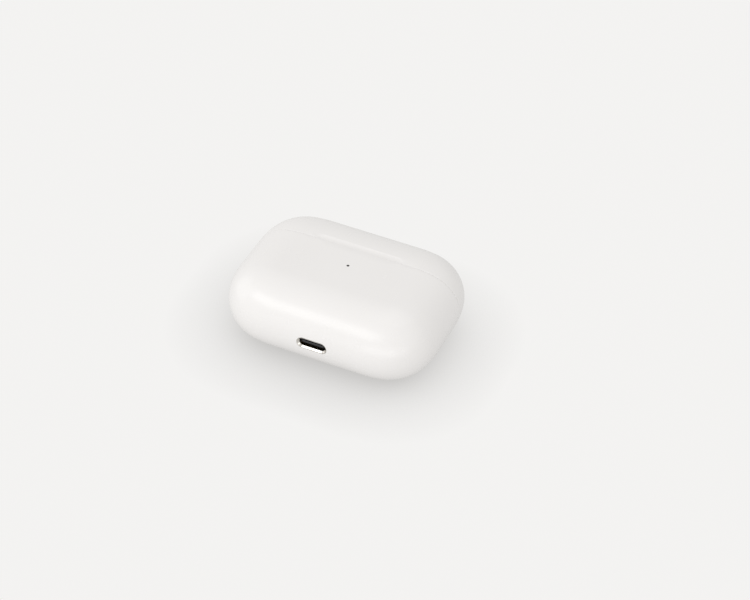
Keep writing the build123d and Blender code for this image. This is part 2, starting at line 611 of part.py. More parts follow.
def port_pieces():
    """Trim ring, sleeve, tongue, contacts, bracket and screws of the charging port."""
    ring_end = PORT_END_Y + SHELL_WALL + 0.2
    trim = racetrack_along_y(PORT_WIDTH, PORT_HEIGHT, PORT_END_Y - 1, ring_end) & pebble(0.04)
    trim -= racetrack_along_y(PORT_WIDTH - 2 * PORT_TRIM_LIP, PORT_HEIGHT - 2 * PORT_TRIM_LIP, -FAR, FAR)
    trim -= port_lead_in()
    sleeve_y = ring_end + GLUE_GAP
    sleeve_width = PORT_WIDTH - 2 * PORT_SLEEVE_INSET
    sleeve_height = PORT_HEIGHT - 2 * PORT_SLEEVE_INSET
    hollow_width = sleeve_width - 2 * PORT_METAL
    hollow_height = sleeve_height - 2 * PORT_METAL
    sleeve = racetrack_along_y(sleeve_width, sleeve_height, sleeve_y, BRACKET_Y)
    sleeve -= racetrack_along_y(hollow_width, hollow_height, sleeve_y - 1, BRACKET_Y + 1)
    base_y = BRACKET_Y - 1.2
    half = PORT_WIDTH / 2 - TONGUE_SIDE_GAP
    low, high = MID_Z - TONGUE_THICKNESS / 2, MID_Z + TONGUE_THICKNESS / 2
    tongue = box_between(-half, half, PORT_END_Y + TONGUE_SETBACK, base_y, low, high)
    tongue += racetrack_along_y(hollow_width - 2 * FIT, hollow_height - 2 * FIT, base_y, BRACKET_Y - FIT)
    contacts = []
    contact_y = PORT_END_Y + PORT_CONTACT_SETBACK
    for z in (low, high):
        for index in range(PORT_CONTACT_COUNT):
            x = (index - (PORT_CONTACT_COUNT - 1) / 2) * PORT_CONTACT_PITCH
            x0, x1 = x - PORT_CONTACT_WIDTH / 2, x + PORT_CONTACT_WIDTH / 2
            outward = 1 if z > MID_Z else -1
            z0, z1 = sorted((z + outward * GLUE_GAP, z + outward * 4 * GLUE_GAP))
            contacts.append(box_between(x0, x1, contact_y, base_y - FIT, z0, z1))
    reach = BRACKET_SCREW_X + 1.5
    plate_y = BRACKET_Y + FIT + BRACKET_THICKNESS
    bracket = box_between(-reach, reach, BRACKET_Y + FIT, plate_y,
                          MID_Z - BRACKET_HEIGHT / 2, MID_Z + BRACKET_HEIGHT / 2)
    screws = []
    for sign in (1, -1):
        x = sign * BRACKET_SCREW_X
        bracket -= rod((x, BRACKET_Y - 1, MID_Z), (0, 1, 0), SCREW_RADIUS + FIT, 4)
        shank = rod((x, BRACKET_Y - 2.6, MID_Z), (0, 1, 0), SCREW_RADIUS, 3.4)
        screws.append(shank + rod((x, plate_y + FIT, MID_Z), (0, 1, 0), SCREW_HEAD_RADIUS, SCREW_HEAD_HEIGHT))
    return {"port_trim_ring": trim, "port_sleeve": sleeve, "port_tongue": tongue,
            "port_contacts": group(contacts), "port_bracket": bracket, "port_screws": group(screws)}


def port_flex():
    """Flexible strip from the port bracket down to the main board."""
    y0 = BRACKET_Y + BRACKET_THICKNESS + 2 * FIT
    low = BOARD_TOP_Z + FIT
    strip = box_between(-3, 3, y0, y0 + FLEX_THICKNESS, low, MID_Z + 1.2)
    return strip + box_between(-3, 3, y0, y0 + 2.2, low, low + FLEX_THICKNESS)


# Electronics ----------------------------------------------------------------------------------------
def main_board():
    """Main circuit board over the coil, screwed to two bosses."""
    half = BOARD_WIDTH / 2
    board = box_between(-half, half, BOARD_LOW_Y, BOARD_HIGH_Y, BOARD_BOTTOM_Z + FIT, BOARD_TOP_Z)
    board = fillet(board.edges().filter_by(Axis.Z), 1.2)
    for sign in (1, -1):
        board -= Pos(sign * BOARD_SCREW_X, BOARD_SCREW_Y, 0) * Cylinder(SCREW_RADIUS + FIT, FAR)
    return board


def board_pieces():
    """Screws, shield can, chips, capacitors and sockets of the main board."""
    top = BOARD_TOP_Z + GLUE_GAP
    screws = []
    for sign in (1, -1):
        shank = Pos(sign * BOARD_SCREW_X, BOARD_SCREW_Y, BOARD_SCREW_TIP_Z) * Cylinder(
            SCREW_RADIUS, top - BOARD_SCREW_TIP_Z + 0.1, align=BASE)
        head = Pos(sign * BOARD_SCREW_X, BOARD_SCREW_Y, top) * Cylinder(
            SCREW_HEAD_RADIUS, SCREW_HEAD_HEIGHT, align=BASE)
        screws.append(shank + head)
    can = box_between(-11.0, 3.0, -9.5, -1.0, top, top + 1.35)
    can -= box_between(-10.8, 2.8, -9.3, -1.2, top - 1, top + 1.15)
    chips = [box_between(x, x + 4.5, -7.5, -3.0, top, top + 0.8) for x in (-9.5, -3.5)]
    capacitors = [box_between(4.4 + 1.7 * i, 5.4 + 1.7 * i, y, y + 1.6, top, top + 0.6)
                  for i in range(4) for y in (-9.0, -6.0, -3.0)]
    socket_low = BOARD_TOP_Z + 2 * FIT + FLEX_THICKNESS
    sockets = [box_between(x - 1.0, x + 1.0, y, y + 1.0, socket_low, socket_low + 0.6)
               for x, y in ((0, BRACKET_Y + 1.7), (10.5, BATTERY_FLEX_Y - 1.3))]
    return {"board_screws": group(screws), "shield_can": can, "power_chips": group(chips),
            "board_capacitors": group(capacitors), "flex_sockets": group(sockets)}


def battery(low_z):
    """Flat pouch cell with soft edges."""
    cell = box_between(-BATTERY_WIDTH / 2, BATTERY_WIDTH / 2, BATTERY_LOW_Y, BATTERY_LOW_Y + BATTERY_LENGTH,
                       low_z, low_z + BATTERY_THICKNESS)
    return fillet(cell.edges().filter_by(Axis.Y), 1.0)


def battery_flex():
    """Strip that joins both cells to the board."""
    low = BOARD_TOP_Z + FIT
    strip = box_between(8.5, 11.0, BATTERY_FLEX_Y - FLEX_THICKNESS, BATTERY_FLEX_Y, low, BATTERY_TOP_Z - 1)
    return strip + box_between(8.5, 11.0, BATTERY_FLEX_Y - 1.4, BATTERY_FLEX_Y, low, low + FLEX_THICKNESS)


def battery_pads():
    """Adhesive pad between the cells and foam pad in front of them."""
    middle = BATTERY_LOW_Z + BATTERY_THICKNESS
    thin = box_between(-9, 9, -11.5, 0.5, middle + 0.02, middle + BATTERY_GAP - 0.02)
    foam = box_between(-8, 8, -9.5, 2.0, BATTERY_TOP_Z + FIT, LED_BOARD_Z - FIT)
    return group([thin, foam])


def racetrack_ring(width, height, band, low_z, thickness):
    """Flat stadium-shaped ring parallel to the back."""
    ring = SlotOverall(width, height) - SlotOverall(width - 2 * band, height - 2 * band)
    return Pos(0, BUTTON_Y, low_z) * extrude(ring, thickness)


def ferrite_sheet():
    """Magnetic sheet over the coil, open round the button."""
    sheet = Pos(0, BUTTON_Y, FERRITE_LOW_Z) * extrude(SlotOverall(COIL_WIDTH, COIL_HEIGHT), FERRITE_THICKNESS)
    return sheet - Pos(0, BUTTON_Y, 0) * Cylinder(BUTTON_RADIUS + 0.9, FAR)


def setup_button():
    """Round button in the back with a flange inside the wall and a plunger."""
    flange_low = BACK_INNER_Z + FIT
    cap_height = flange_low - BUTTON_RECESS + 0.1
    cap = Pos(0, BUTTON_Y, BUTTON_RECESS) * Cylinder(BUTTON_RADIUS, cap_height, align=BASE)
    flange = Pos(0, BUTTON_Y, flange_low) * Cylinder(BUTTON_RADIUS + 0.5, 0.4, align=BASE)
    plunger_length = SWITCH_LOW_Z - flange_low - BUTTON_TRAVEL - FIT
    plunger = Pos(0, BUTTON_Y, flange_low) * Cylinder(0.7, plunger_length, align=BASE)
    return cap + flange + plunger


def button_switch():
    """Tactile switch under the board, facing the button."""
    low, top = SWITCH_LOW_Z + 0.15, BOARD_BOTTOM_Z
    switch = box_between(-1.5, 1.5, BUTTON_Y - 1.5, BUTTON_Y + 1.5, low, top)
    return switch + Pos(0, BUTTON_Y, SWITCH_LOW_Z) * Cylinder(0.8, 0.3, align=BASE)


def light_pieces():
    """Status light: its strip, the diode, the light pipe in the front wall and the lid sensor."""
    top = LED_BOARD_Z + 0.25
    strip = box_between(-2.2, 2.2, -2.5, CASE_MAGNET_Y + 2.0, LED_BOARD_Z, top)
    led = box_between(-0.5, 0.5, -0.3, 0.3, top + 0.02, top + 0.35)
    sensor = box_between(-0.8, 0.8, CASE_MAGNET_Y + 0.3, CASE_MAGNET_Y + 1.5, top + 0.02, top + 0.5)
    pipe = Pos(0, 0, top + 0.45) * Cylinder(2 * LIGHT_RADIUS, FRONT_INNER_Z - FIT - top - 0.45, align=BASE)
    pipe += Pos(0, 0, top + 0.5) * Cylinder(LIGHT_RADIUS, CASE_THICKNESS - 0.02 - top - 0.5, align=BASE)
    return {"status_light_strip": strip, "status_led": led, "light_pipe": pipe, "lid_sensor": sensor}


def tray_magnets():
    """Magnets on the front of the stem wells that hold the earbuds."""
    low = STEM_Z + WELL_RADIUS + WELL_WALL + FIT
    return group(both_sides(box_between(STEM_X - 2, STEM_X + 2, -4, 2, low, low + 1.5)))


def lid_bumpers():
    """Soft pads inside the lid over the earbud heads."""
    top = CASE_HEIGHT / 2 - LINER_OUT - LINER_WALL - FIT
    low = HEAD_Y + HEAD_RADIUS + 1.0
    bumper = rod((HEAD_X, low, HEAD_Z), (0, 1, 0), 2.6, 20) & below(top)
    bumper = bumper & pebble(LINER_OUT + LINER_WALL + FIT)
    return group(both_sides(bumper))


def all_pieces():
    """Every node of the case by name."""
    pieces = {"body_shell": body_shell(), "bud_tray": bud_tray(),
              "lid_shell": lid_shell(), "lid_liner": lid_liner(),
              "hinge_frame": hinge_frame(), "hinge_arm": hinge_arm(), "detent_spring": detent_spring(),
              "hinge_pin": hinge_rod(HINGE_PIN_RADIUS, 0.05 - HINGE_HALF_LENGTH, HINGE_HALF_LENGTH - 0.05),
              "lid_magnets": group(magnet_boxes(LID_MAGNET_Y, LID_MAGNET_Z)),
              "closure_magnets": group(magnet_boxes(CASE_MAGNET_Y, CASE_MAGNET_Z)),
              "tray_magnets": tray_magnets(), "lid_bumpers": lid_bumpers(), "main_board": main_board(),
              "battery_rear": battery(BATTERY_LOW_Z), "battery_pads": battery_pads(),
              "battery_front": battery(BATTERY_LOW_Z + BATTERY_THICKNESS + BATTERY_GAP),
              "battery_flex": battery_flex(), "port_flex": port_flex(), "ferrite_sheet": ferrite_sheet(),
              "charging_coil": racetrack_ring(COIL_WIDTH, COIL_HEIGHT, COIL_BAND, COIL_LOW_Z, COIL_THICKNESS),
              "setup_button": setup_button(), "button_switch": button_switch()}
    pieces.update(port_pieces())
    pieces.update(board_pieces())
    pieces.update(light_pieces())
    for name, x in zip(("left_outer", "left_inner", "right_inner", "right_outer"), pin_places()):
        pieces["contact_pin_" + name] = contact_pin(x)
    right = {"contact_block": contact_block(STEM_X), "contact_flex": contact_flex(STEM_X)}
    right.update({"earbud_" + name: shape for name, shape in earbud().items()})
    for name, shape in right.items():
        pieces[name + "_right"] = shape
        pieces[name + "_left"] = mirror(shape, Plane.YZ)
    return pieces


os.makedirs("parts", exist_ok=True)
for node, shape in all_pieces().items():
    export_step(shape, "parts/" + node + ".step")
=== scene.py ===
"""Wireless earbuds charging case on its back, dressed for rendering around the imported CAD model."""
import json
from math import cos, radians, sin, sqrt

import bmesh
import bpy
import numpy as np
from mathutils import Matrix, Vector


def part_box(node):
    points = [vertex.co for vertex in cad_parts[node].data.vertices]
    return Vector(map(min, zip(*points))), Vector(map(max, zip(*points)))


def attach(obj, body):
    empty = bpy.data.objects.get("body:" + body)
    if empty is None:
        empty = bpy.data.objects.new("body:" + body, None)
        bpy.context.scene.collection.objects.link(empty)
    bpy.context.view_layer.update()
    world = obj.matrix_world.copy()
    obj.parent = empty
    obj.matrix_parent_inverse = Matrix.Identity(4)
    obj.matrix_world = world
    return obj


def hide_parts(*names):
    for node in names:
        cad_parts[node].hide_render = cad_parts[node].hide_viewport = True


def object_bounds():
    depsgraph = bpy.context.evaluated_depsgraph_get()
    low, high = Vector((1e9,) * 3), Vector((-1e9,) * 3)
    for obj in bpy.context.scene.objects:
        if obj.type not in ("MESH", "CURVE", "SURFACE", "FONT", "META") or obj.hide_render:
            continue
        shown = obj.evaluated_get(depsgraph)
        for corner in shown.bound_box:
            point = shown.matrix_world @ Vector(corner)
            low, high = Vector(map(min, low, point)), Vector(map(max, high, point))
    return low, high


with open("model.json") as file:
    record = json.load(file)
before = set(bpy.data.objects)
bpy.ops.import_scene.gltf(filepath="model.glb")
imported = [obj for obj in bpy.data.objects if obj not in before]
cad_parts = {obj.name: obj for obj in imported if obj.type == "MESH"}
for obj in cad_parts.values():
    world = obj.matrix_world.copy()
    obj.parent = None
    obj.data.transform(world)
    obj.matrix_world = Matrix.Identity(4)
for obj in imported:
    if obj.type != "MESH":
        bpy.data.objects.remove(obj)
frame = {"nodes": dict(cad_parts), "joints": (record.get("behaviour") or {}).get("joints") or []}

cad_low, cad_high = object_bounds()
nodes = frame["nodes"]
MM = 0.001

# ---------------------------------------------------------------------------------------------------
# Studio: a pale floor, a big soft key from the front left, low fills round it, and the camera.
# The camera looks down at the middle of the case, turned a little to its right-hand side.
CAMERA_ELEVATION = radians(40.41)
CAMERA_AZIMUTH = radians(22.05)
CAMERA_ROLL = radians(-2.91)
CAMERA_DISTANCE = 0.605
CAMERA_SIDESTEP = 0.00767
CAMERA_DROP = 0.00097
SENSOR_MM = 36
LENS_MM = 107.0
LIGHT_AIM = Vector((0, 0, 0.01))
# Each softbox has its place, power, width and height.
SOFTBOXES = {
    "key": ((-0.42, -0.70, 0.80), 2.65, 0.9, 0.45),
    "fill_left": ((-0.9, -0.1, 0.30), 1.0, 0.7, 0.7),
    "fill_right": ((0.75, -0.75, 0.12), 0.8, 0.7, 0.5),
    "fill_front": ((0.2, -1.0, 0.10), 1.4, 0.9, 0.4),
    "top": ((0.1, 0.35, 1.1), 1.0, 0.8, 0.8),
}
FLOOR_REACH = 1.0
FLOOR_DROP = 0.03 * MM
SHADOW_COLOUR = (0.30, 0.29, 0.28, 1.0)
SHADOW_REACH = 0.02
SHADOW_STRENGTH = 0.62
SHADOW_SAMPLES = 12
SURROUND_TINT = (1.0, 0.992, 0.98, 1.0)
SURROUND_LIGHT = 0.74
PAPER_BRIGHTNESS = 0.90


def studio_camera(centre):
    """Camera at a distance from the centre along the view direction, rolled about that direction."""
    turn = Matrix.Rotation(CAMERA_AZIMUTH, 3, "Z")
    back = turn @ Vector((0, -cos(CAMERA_ELEVATION), sin(CAMERA_ELEVATION)))
    level_up = turn @ Vector((0, sin(CAMERA_ELEVATION), cos(CAMERA_ELEVATION)))
    level_right = turn @ Vector((1, 0, 0))
    right = cos(CAMERA_ROLL) * level_right - sin(CAMERA_ROLL) * level_up
    up = sin(CAMERA_ROLL) * level_right + cos(CAMERA_ROLL) * level_up
    place = Matrix((right, up, back)).transposed().to_4x4()
    place.translation = centre + back * CAMERA_DISTANCE + right * CAMERA_SIDESTEP - up * CAMERA_DROP
    camera = bpy.data.cameras.new("studio_camera")
    camera.sensor_width = SENSOR_MM
    camera.lens = LENS_MM
    holder = bpy.data.objects.new("studio_camera", camera)
    holder.matrix_world = place
    bpy.context.scene.collection.objects.link(holder)
    bpy.context.scene.camera = holder


def softbox(name, place, power, width, height):
    """Rectangular area light that faces the case."""
    light = bpy.data.lights.new(name, "AREA")
    light.shape = "RECTANGLE"
    light.energy = power
    light.size = width
    light.size_y = height
    holder = bpy.data.objects.new(name, light)
    holder.location = place
    holder.rotation_euler = (LIGHT_AIM - Vector(place)).to_track_quat("-Z", "Y").to_euler()
    bpy.context.scene.collection.objects.link(holder)


def add_node(tree, kind, inputs=None, **settings):
    """New shader node: its settings first, then the values of its inputs by name or by place."""
    node = tree.nodes.new("ShaderNode" + kind)
    for name, value in settings.items():
        setattr(node, name, value)
    for name, value in (inputs or {}).items():
        node.inputs[name].default_value = value
    return node


def studio_floor():
    """Square floor whose four corners lie a hair under z = 0, so that it doesn't fight the case's flat back.

    The paper is as bright as its surround, and grows darker where the case shades it from close by.
    """
    corners = np.array([(-1, -1, 0), (1, -1, 0), (1, 1, 0), (-1, 1, 0)]) * FLOOR_REACH - (0, 0, FLOOR_DROP)
    mesh = bpy.data.meshes.new("floor")
    mesh.from_pydata(corners.tolist(), [], [(0, 1, 2, 3)])
    floor = bpy.data.objects.new("floor", mesh)
    bpy.context.scene.collection.objects.link(floor)
    paper = bpy.data.materials.new("floor_paper")
    paper.use_nodes = True
    tree, link = paper.node_tree, paper.node_tree.links.new
    shade = add_node(tree, "AmbientOcclusion", {"Distance": SHADOW_REACH}, samples=SHADOW_SAMPLES)
    depth = add_node(tree, "MapRange", {"From Min": 1.0, "From Max": 0.0, "To Max": SHADOW_STRENGTH})
    clear = add_node(tree, "BsdfTransparent")
    dark = add_node(tree, "Emission", {"Color": SHADOW_COLOUR})
    blend = add_node(tree, "MixShader")
    tree.nodes.remove(tree.nodes["Principled BSDF"])
    link(shade.outputs["AO"], depth.inputs["Value"])
    link(depth.outputs["Result"], blend.inputs[0])
    link(clear.outputs["BSDF"], blend.inputs[1])
    link(dark.outputs["Emission"], blend.inputs[2])
    link(blend.outputs["Shader"], tree.nodes["Material Output"].inputs["Surface"])
    mesh.materials.append(paper)


studio_camera(Vector((0, 0, (cad_low[2] + cad_high[2]) / 2)))
studio_floor()
for box_name, (box_place, box_power, box_width, box_height) in SOFTBOXES.items():
    softbox(box_name, box_place, box_power, box_width, box_height)
sky = bpy.data.worlds.new("studio")
bpy.context.scene.world = sky
sky.use_nodes = True
surround = sky.node_tree.nodes["Background"]
surround.inputs["Color"].default_value = SURROUND_TINT
seen = add_node(sky.node_tree, "LightPath")
level = add_node(sky.node_tree, "MapRange", {"To Min": SURROUND_LIGHT, "To Max": PAPER_BRIGHTNESS})
sky.node_tree.links.new(seen.outputs["Is Camera Ray"], level.inputs["Value"])
sky.node_tree.links.new(level.outputs["Result"], surround.inputs["Strength"])
bpy.context.scene.view_settings.view_transform = "Standard"

# ---------------------------------------------------------------------------------------------------
# Shells: body and lid of glossy warm-white polycarbonate, injection moulded and polished.
# Both are one pebble form cut at the seam; the lid carries the hinge barrel and the thumb scoop.
CROWN_RADIUS = 19.7 * MM
CROWN_ANGLE = radians(18.2)
LEAD_RADIUS = 26.5 * MM
LEAD_ANGLE = radians(12.2)
FACE_CORNER = 0.7 * MM
LEAD_STEPS, CORNER_STEPS, TOP_STEPS, SIDE_STEPS, EDGE_STEPS = 5, 22, 28, 12, 30
FACE_RINGS = (0.02, 0.25, 0.5, 0.75)
MERGE_REACH = 1e-7
WALL = 1.3 * MM
SEAM_GAP = 0.08 * MM
SEAM_SHOWN = 0.04 * MM
SEAM_SNAP = 0.25 * MM
BARREL_SHRINK = 0.9985
LIP_ROUND = 0.07 * MM
LIP_SEGMENTS = 3
LIP_ANGLE = radians(45)
CUT_REACH = 4 * MM
PORT_GAP = 0.01 * MM
BUTTON_BORE = 2.55 * MM
LIGHT_BORE = 0.4 * MM
SCOOP_WIDTH = 25.5 * MM
SCOOP_HEIGHT = 2.2 * MM
SCOOP_DEPTH = 0.4 * MM
SCOOP_STEPS = 40
SHELL_WHITE = (0.862, 0.848, 0.838, 1.0)
SHELL_SHADE = (0.825, 0.81, 0.80, 1.0)

half_width = (cad_high[0] - cad_low[0]) / 2
half_height = (cad_high[1] - cad_low[1]) / 2
thickness = cad_high[2] - cad_low[2]
seam_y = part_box("body_shell")[1][1] + SEAM_GAP / 2
edge_radius = (thickness / 2 - CROWN_RADIUS * (1 - cos(CROWN_ANGLE))) / cos(CROWN_ANGLE)
edge_depth = CROWN_RADIUS * sin(CROWN_ANGLE) + edge_radius * (1 - sin(CROWN_ANGLE))
corner_radius = edge_depth + FACE_CORNER


def plan_outline():
    """Points and outward normals round the case's plan outline.

    Each corner is three tangent arcs: the long lead radius, the corner radius, the lead radius again.
    A point is its arc's centre plus the radius along the angle; the straight sides lie between corners.
    """
    lead, step = LEAD_ANGLE, LEAD_RADIUS - corner_radius
    reach = LEAD_RADIUS - step * (cos(lead) - sin(lead))
    first = np.array([half_width - LEAD_RADIUS, half_height - reach])
    middle = first + step * np.array([cos(lead), sin(lead)])
    last = middle - step * np.array([sin(lead), cos(lead)])
    arcs = [(first, LEAD_RADIUS, 0, lead, LEAD_STEPS),
            (middle, corner_radius, lead, np.pi / 2 - lead, CORNER_STEPS),
            (last, LEAD_RADIUS, np.pi / 2 - lead, np.pi / 2, LEAD_STEPS)]
    points, normals = [], []
    for centre, radius, start, end, count in arcs:
        angle = np.linspace(start, end, count + 1)[:-1]
        normal = np.stack([np.cos(angle), np.sin(angle)], 1)
        points.append(centre + radius * normal)
        normals.append(normal)
    across = np.linspace(last[0], -last[0], TOP_STEPS + 1)[:-1]
    points.append(np.stack([across, np.full(TOP_STEPS, half_height)], 1))
    normals.append(np.tile([0.0, 1.0], (TOP_STEPS, 1)))
    quarter, facing = np.concatenate(points), np.concatenate(normals)
    points, normals = [quarter], [facing]
    keep = len(quarter) - TOP_STEPS
    mirrored = quarter[1:keep][::-1] * [-1, 1]
    turned = facing[1:keep][::-1] * [-1, 1]
    tip = np.array([[-last[0], half_height]])
    points += [tip, mirrored]
    normals += [np.array([[0.0, 1.0]]), turned]
    side = np.linspace(first[1], -first[1], SIDE_STEPS + 1)[:-1]
    points.append(np.stack([np.full(SIDE_STEPS, -half_width), side], 1))
    normals.append(np.tile([-1.0, 0.0], (SIDE_STEPS, 1)))
    upper, upper_normals = np.concatenate(points), np.concatenate(normals)
    return np.concatenate([upper, -upper]), np.concatenate([upper_normals, -upper_normals])


def edge_profile(steps):
    """Depth from the outline and height above mid-thickness for the rolled edge, from flat face to waist.

    A flat crown arc turns through the crown angle, then a tighter tangent arc turns on to the vertical.
    """
    crown = np.linspace(0, CROWN_ANGLE, steps // 3 + 1)[:-1]
    edge = np.linspace(CROWN_ANGLE, np.pi / 2, steps - steps // 3 + 1)
    crown_height = thickness / 2 - CROWN_RADIUS
    depth = np.concatenate([edge_depth - CROWN_RADIUS * np.sin(crown), edge_radius * (1 - np.sin(edge))])
    height = np.concatenate([crown_height + CROWN_RADIUS * np.cos(crown), edge_radius * np.cos(edge)])
    return depth, height


def grid_faces(rows, columns):
    """Quads between neighbouring rows of a grid whose rows close on themselves."""
    row, column = np.meshgrid(np.arange(rows - 1), np.arange(columns), indexing="ij")
    after = (column + 1) % columns
    quads = np.stack([row * columns + column, row * columns + after,
                      (row + 1) * columns + after, (row + 1) * columns + column], -1)
    return quads.reshape(-1, 4)


def mesh_object(name, points, faces):
    """Linked object from point and face arrays, with doubles merged and normals turned outwards."""
    mesh = bpy.data.meshes.new(name)
    mesh.from_pydata(np.asarray(points).tolist(), [], [list(map(int, face)) for face in faces])
    work = bmesh.new()
    work.from_mesh(mesh)
    bmesh.ops.remove_doubles(work, verts=work.verts, dist=MERGE_REACH)
    bmesh.ops.recalc_face_normals(work, faces=work.faces)
    work.to_mesh(mesh)
    work.free()
    piece = bpy.data.objects.new(name, mesh)
    bpy.context.scene.collection.objects.link(piece)
    return piece


def finish_mesh(piece, sharp=35):
    """Applies the piece's modifiers, removes the cutters they used and shades it smooth to a sharp angle."""
    depsgraph = bpy.context.evaluated_depsgraph_get()
    mesh = bpy.data.meshes.new_from_object(piece.evaluated_get(depsgraph))
    cutters = {m.object for m in piece.modifiers if m.type == "BOOLEAN"}
    piece.modifiers.clear()
    piece.data = mesh
    for cutter in cutters:
        bpy.data.objects.remove(cutter)
    mesh.shade_smooth()
    mesh.set_sharp_from_angle(angle=radians(sharp))
    return piece


def pebble_skin(name):
    """Outer skin: the edge profile carried round the outline, closed by rings that shrink to each face.

    A point is the outline point less its normal times the depth, at the profile's height.
    """
    outline, normals = plan_outline()
    depth, height = edge_profile(EDGE_STEPS)
    depth = np.concatenate([depth, depth[-2::-1]])
    height = np.concatenate([height, -height[-2::-1]]) + thickness / 2
    rings = outline[None] - normals[None] * depth[:, None, None]
    top = rings[0][None] * np.array(FACE_RINGS)[:, None, None]
    rings = np.concatenate([top, rings, top[::-1]])
    flat = np.ones(len(FACE_RINGS))
    levels = np.concatenate([height[0] * flat, height, height[-1] * flat])
    rows, columns = rings.shape[:2]
    points = np.concatenate([rings, np.repeat(levels[:, None], columns, 1)[..., None]], -1).reshape(-1, 3)
    faces = [list(q) for q in grid_faces(rows, columns)]
    faces += [list(range(columns))[::-1], list(range((rows - 1) * columns, rows * columns))]
    return mesh_object(name, points, faces)


def cut_at_seam(piece, y, keep_below):
    """Snaps points near the seam plane onto it, then cuts the skin there and keeps one side."""
    points = np.empty((len(piece.data.vertices), 3), np.float32)
    piece.data.vertices.foreach_get("co", points.ravel())
    points[np.abs(points[:, 1] - y) < SEAM_SNAP, 1] = y
    piece.data.vertices.foreach_set("co", points.ravel())
    work = bmesh.new()
    work.from_mesh(piece.data)
    everything = work.verts[:] + work.edges[:] + work.faces[:]
    bmesh.ops.bisect_plane(work, geom=everything, dist=1e-6, plane_co=(0, y, 0), plane_no=(0, 1, 0),
                           clear_outer=keep_below, clear_inner=not keep_below)
    work.to_mesh(piece.data)
    work.free()


def prism(name, outline, start, along):
    """Closed prism: a plane outline swept in a straight line."""
    low = np.asarray(outline, float) + np.asarray(start, float)
    points = np.concatenate([low, low + np.asarray(along, float)])
    count = len(low)
    faces = [list(q) for q in grid_faces(2, count)]
    faces += [list(range(count)), list(range(count, 2 * count))]
    return mesh_object(name, points, faces)


def circle_points(radius, axis, count=48, squash=1.0):
    """Points of a circle about X, Y or Z."""
    turn = np.arange(count) * 2 * np.pi / count
    a, b, zero = radius * np.cos(turn), radius * squash * np.sin(turn), np.zeros(count)
    order = {"X": (zero, a, b), "Y": (a, zero, b), "Z": (a, b, zero)}[axis]
    return np.stack(order, 1)


def racetrack_points(width, height, count=24):
    """Points of a stadium outline in the XZ plane: two half circles joined by straight sides."""
    turn = np.linspace(-np.pi / 2, np.pi / 2, count)
    radius, shift = height / 2, (width - height) / 2
    right = np.stack([shift + radius * np.cos(turn), np.zeros(count), radius * np.sin(turn)], 1)
    left = np.stack([-shift - radius * np.cos(turn), np.zeros(count), -radius * np.sin(turn)], 1)
    return np.concatenate([right, left])


def boolean(piece, cutter, operation="DIFFERENCE"):
    """Cuts or joins another closed mesh."""
    step = piece.modifiers.new(cutter.name, "BOOLEAN")
    step.operation = operation
    step.solver = "EXACT"
    step.object = cutter


def shell_wall(piece):
    """Thickens the cut skin inwards and rounds its lip."""
    wall = piece.modifiers.new("wall", "SOLIDIFY")
    wall.thickness = WALL
    wall.offset = -1
    wall.use_even_offset = True
    lip = piece.modifiers.new("lip", "BEVEL")
    lip.width = LIP_ROUND
    lip.segments = LIP_SEGMENTS
    lip.limit_method = "ANGLE"
    lip.angle_limit = LIP_ANGLE


SWING_GAP = 0.12 * MM
HINGE_FIT = 0.05 * MM
FRAME_REACH = 4.4 * MM
ARM_REACH = 2.6 * MM
ARC_STEPS = 40
hinge_joint = next(j for j in frame["joints"] if j["name"] == "lid_hinge")
hinge_y, hinge_z = hinge_joint["pos_m"][1], hinge_joint["pos_m"][2]
hinge_radius = hinge_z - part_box("hinge_arm")[0][2]
swing_radius = hinge_z + SWING_GAP
open_angle = radians(hinge_joint["range_deg"][1])
metal_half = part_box("hinge_pin")[1][0] + HINGE_FIT


def swing_outline():
    """Outline, in the YZ plane, of what the lid's back edge sweeps: a circle about the hinge and a wedge."""
    normal = np.array([0, -sin(open_angle), -cos(open_angle)])
    along = np.array([0, cos(open_angle), -sin(open_angle)])
    start = np.arctan2(normal[2], normal[1])
    turn = np.linspace(start, start - 1.5 * np.pi, ARC_STEPS)
    arc = np.stack([np.zeros(ARC_STEPS), swing_radius * np.cos(turn), swing_radius * np.sin(turn)], 1)
    tail = normal * swing_radius + along * CUT_REACH
    return np.concatenate([arc, [[0, swing_radius, -CUT_REACH]], [tail]])


def hinge_window(name, half, y0, y1):
    """Block that opens the back for a hinge leaf: a rectangle, as wide as the leaf, raised along Z."""
    outline = np.array([[-half, y0, 0], [half, y0, 0], [half, y1, 0], [-half, y1, 0]])
    return prism(name, outline, (0, 0, -MM), (0, 0, 3 * MM))


def body_shell_piece():
    """Body shell with its port, button, light and hinge openings."""
    piece = pebble_skin("body_shell_skin")
    cut_at_seam(piece, seam_y - SEAM_SHOWN / 2, True)
    shell_wall(piece)
    ring_low, ring_high = np.array(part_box("port_trim_ring")) + np.array([[-PORT_GAP], [PORT_GAP]])
    port = racetrack_points(ring_high[0] - ring_low[0], ring_high[2] - ring_low[2])
    boolean(piece, prism("port_cut", port, (0, cad_low[1] - MM, thickness / 2), (0, CUT_REACH, 0)))
    button_low, button_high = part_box("setup_button")
    button_y = (button_low[1] + button_high[1]) / 2
    bore = circle_points(BUTTON_BORE, "Z", 64)
    boolean(piece, prism("button_cut", bore, (0, button_y, -MM), (0, 0, CUT_REACH)))
    bore = circle_points(LIGHT_BORE, "Z", 24)
    boolean(piece, prism("light_cut", bore, (0, 0, thickness - 3 * MM), (0, 0, CUT_REACH)))
    start = (-half_width, hinge_y, hinge_z)
    boolean(piece, prism("swing_cut", swing_outline(), start, (2 * half_width, 0, 0)))
    boolean(piece, hinge_window("hinge_cut", metal_half, hinge_y - FRAME_REACH - HINGE_FIT, hinge_y + MM))
    return finish_mesh(piece)


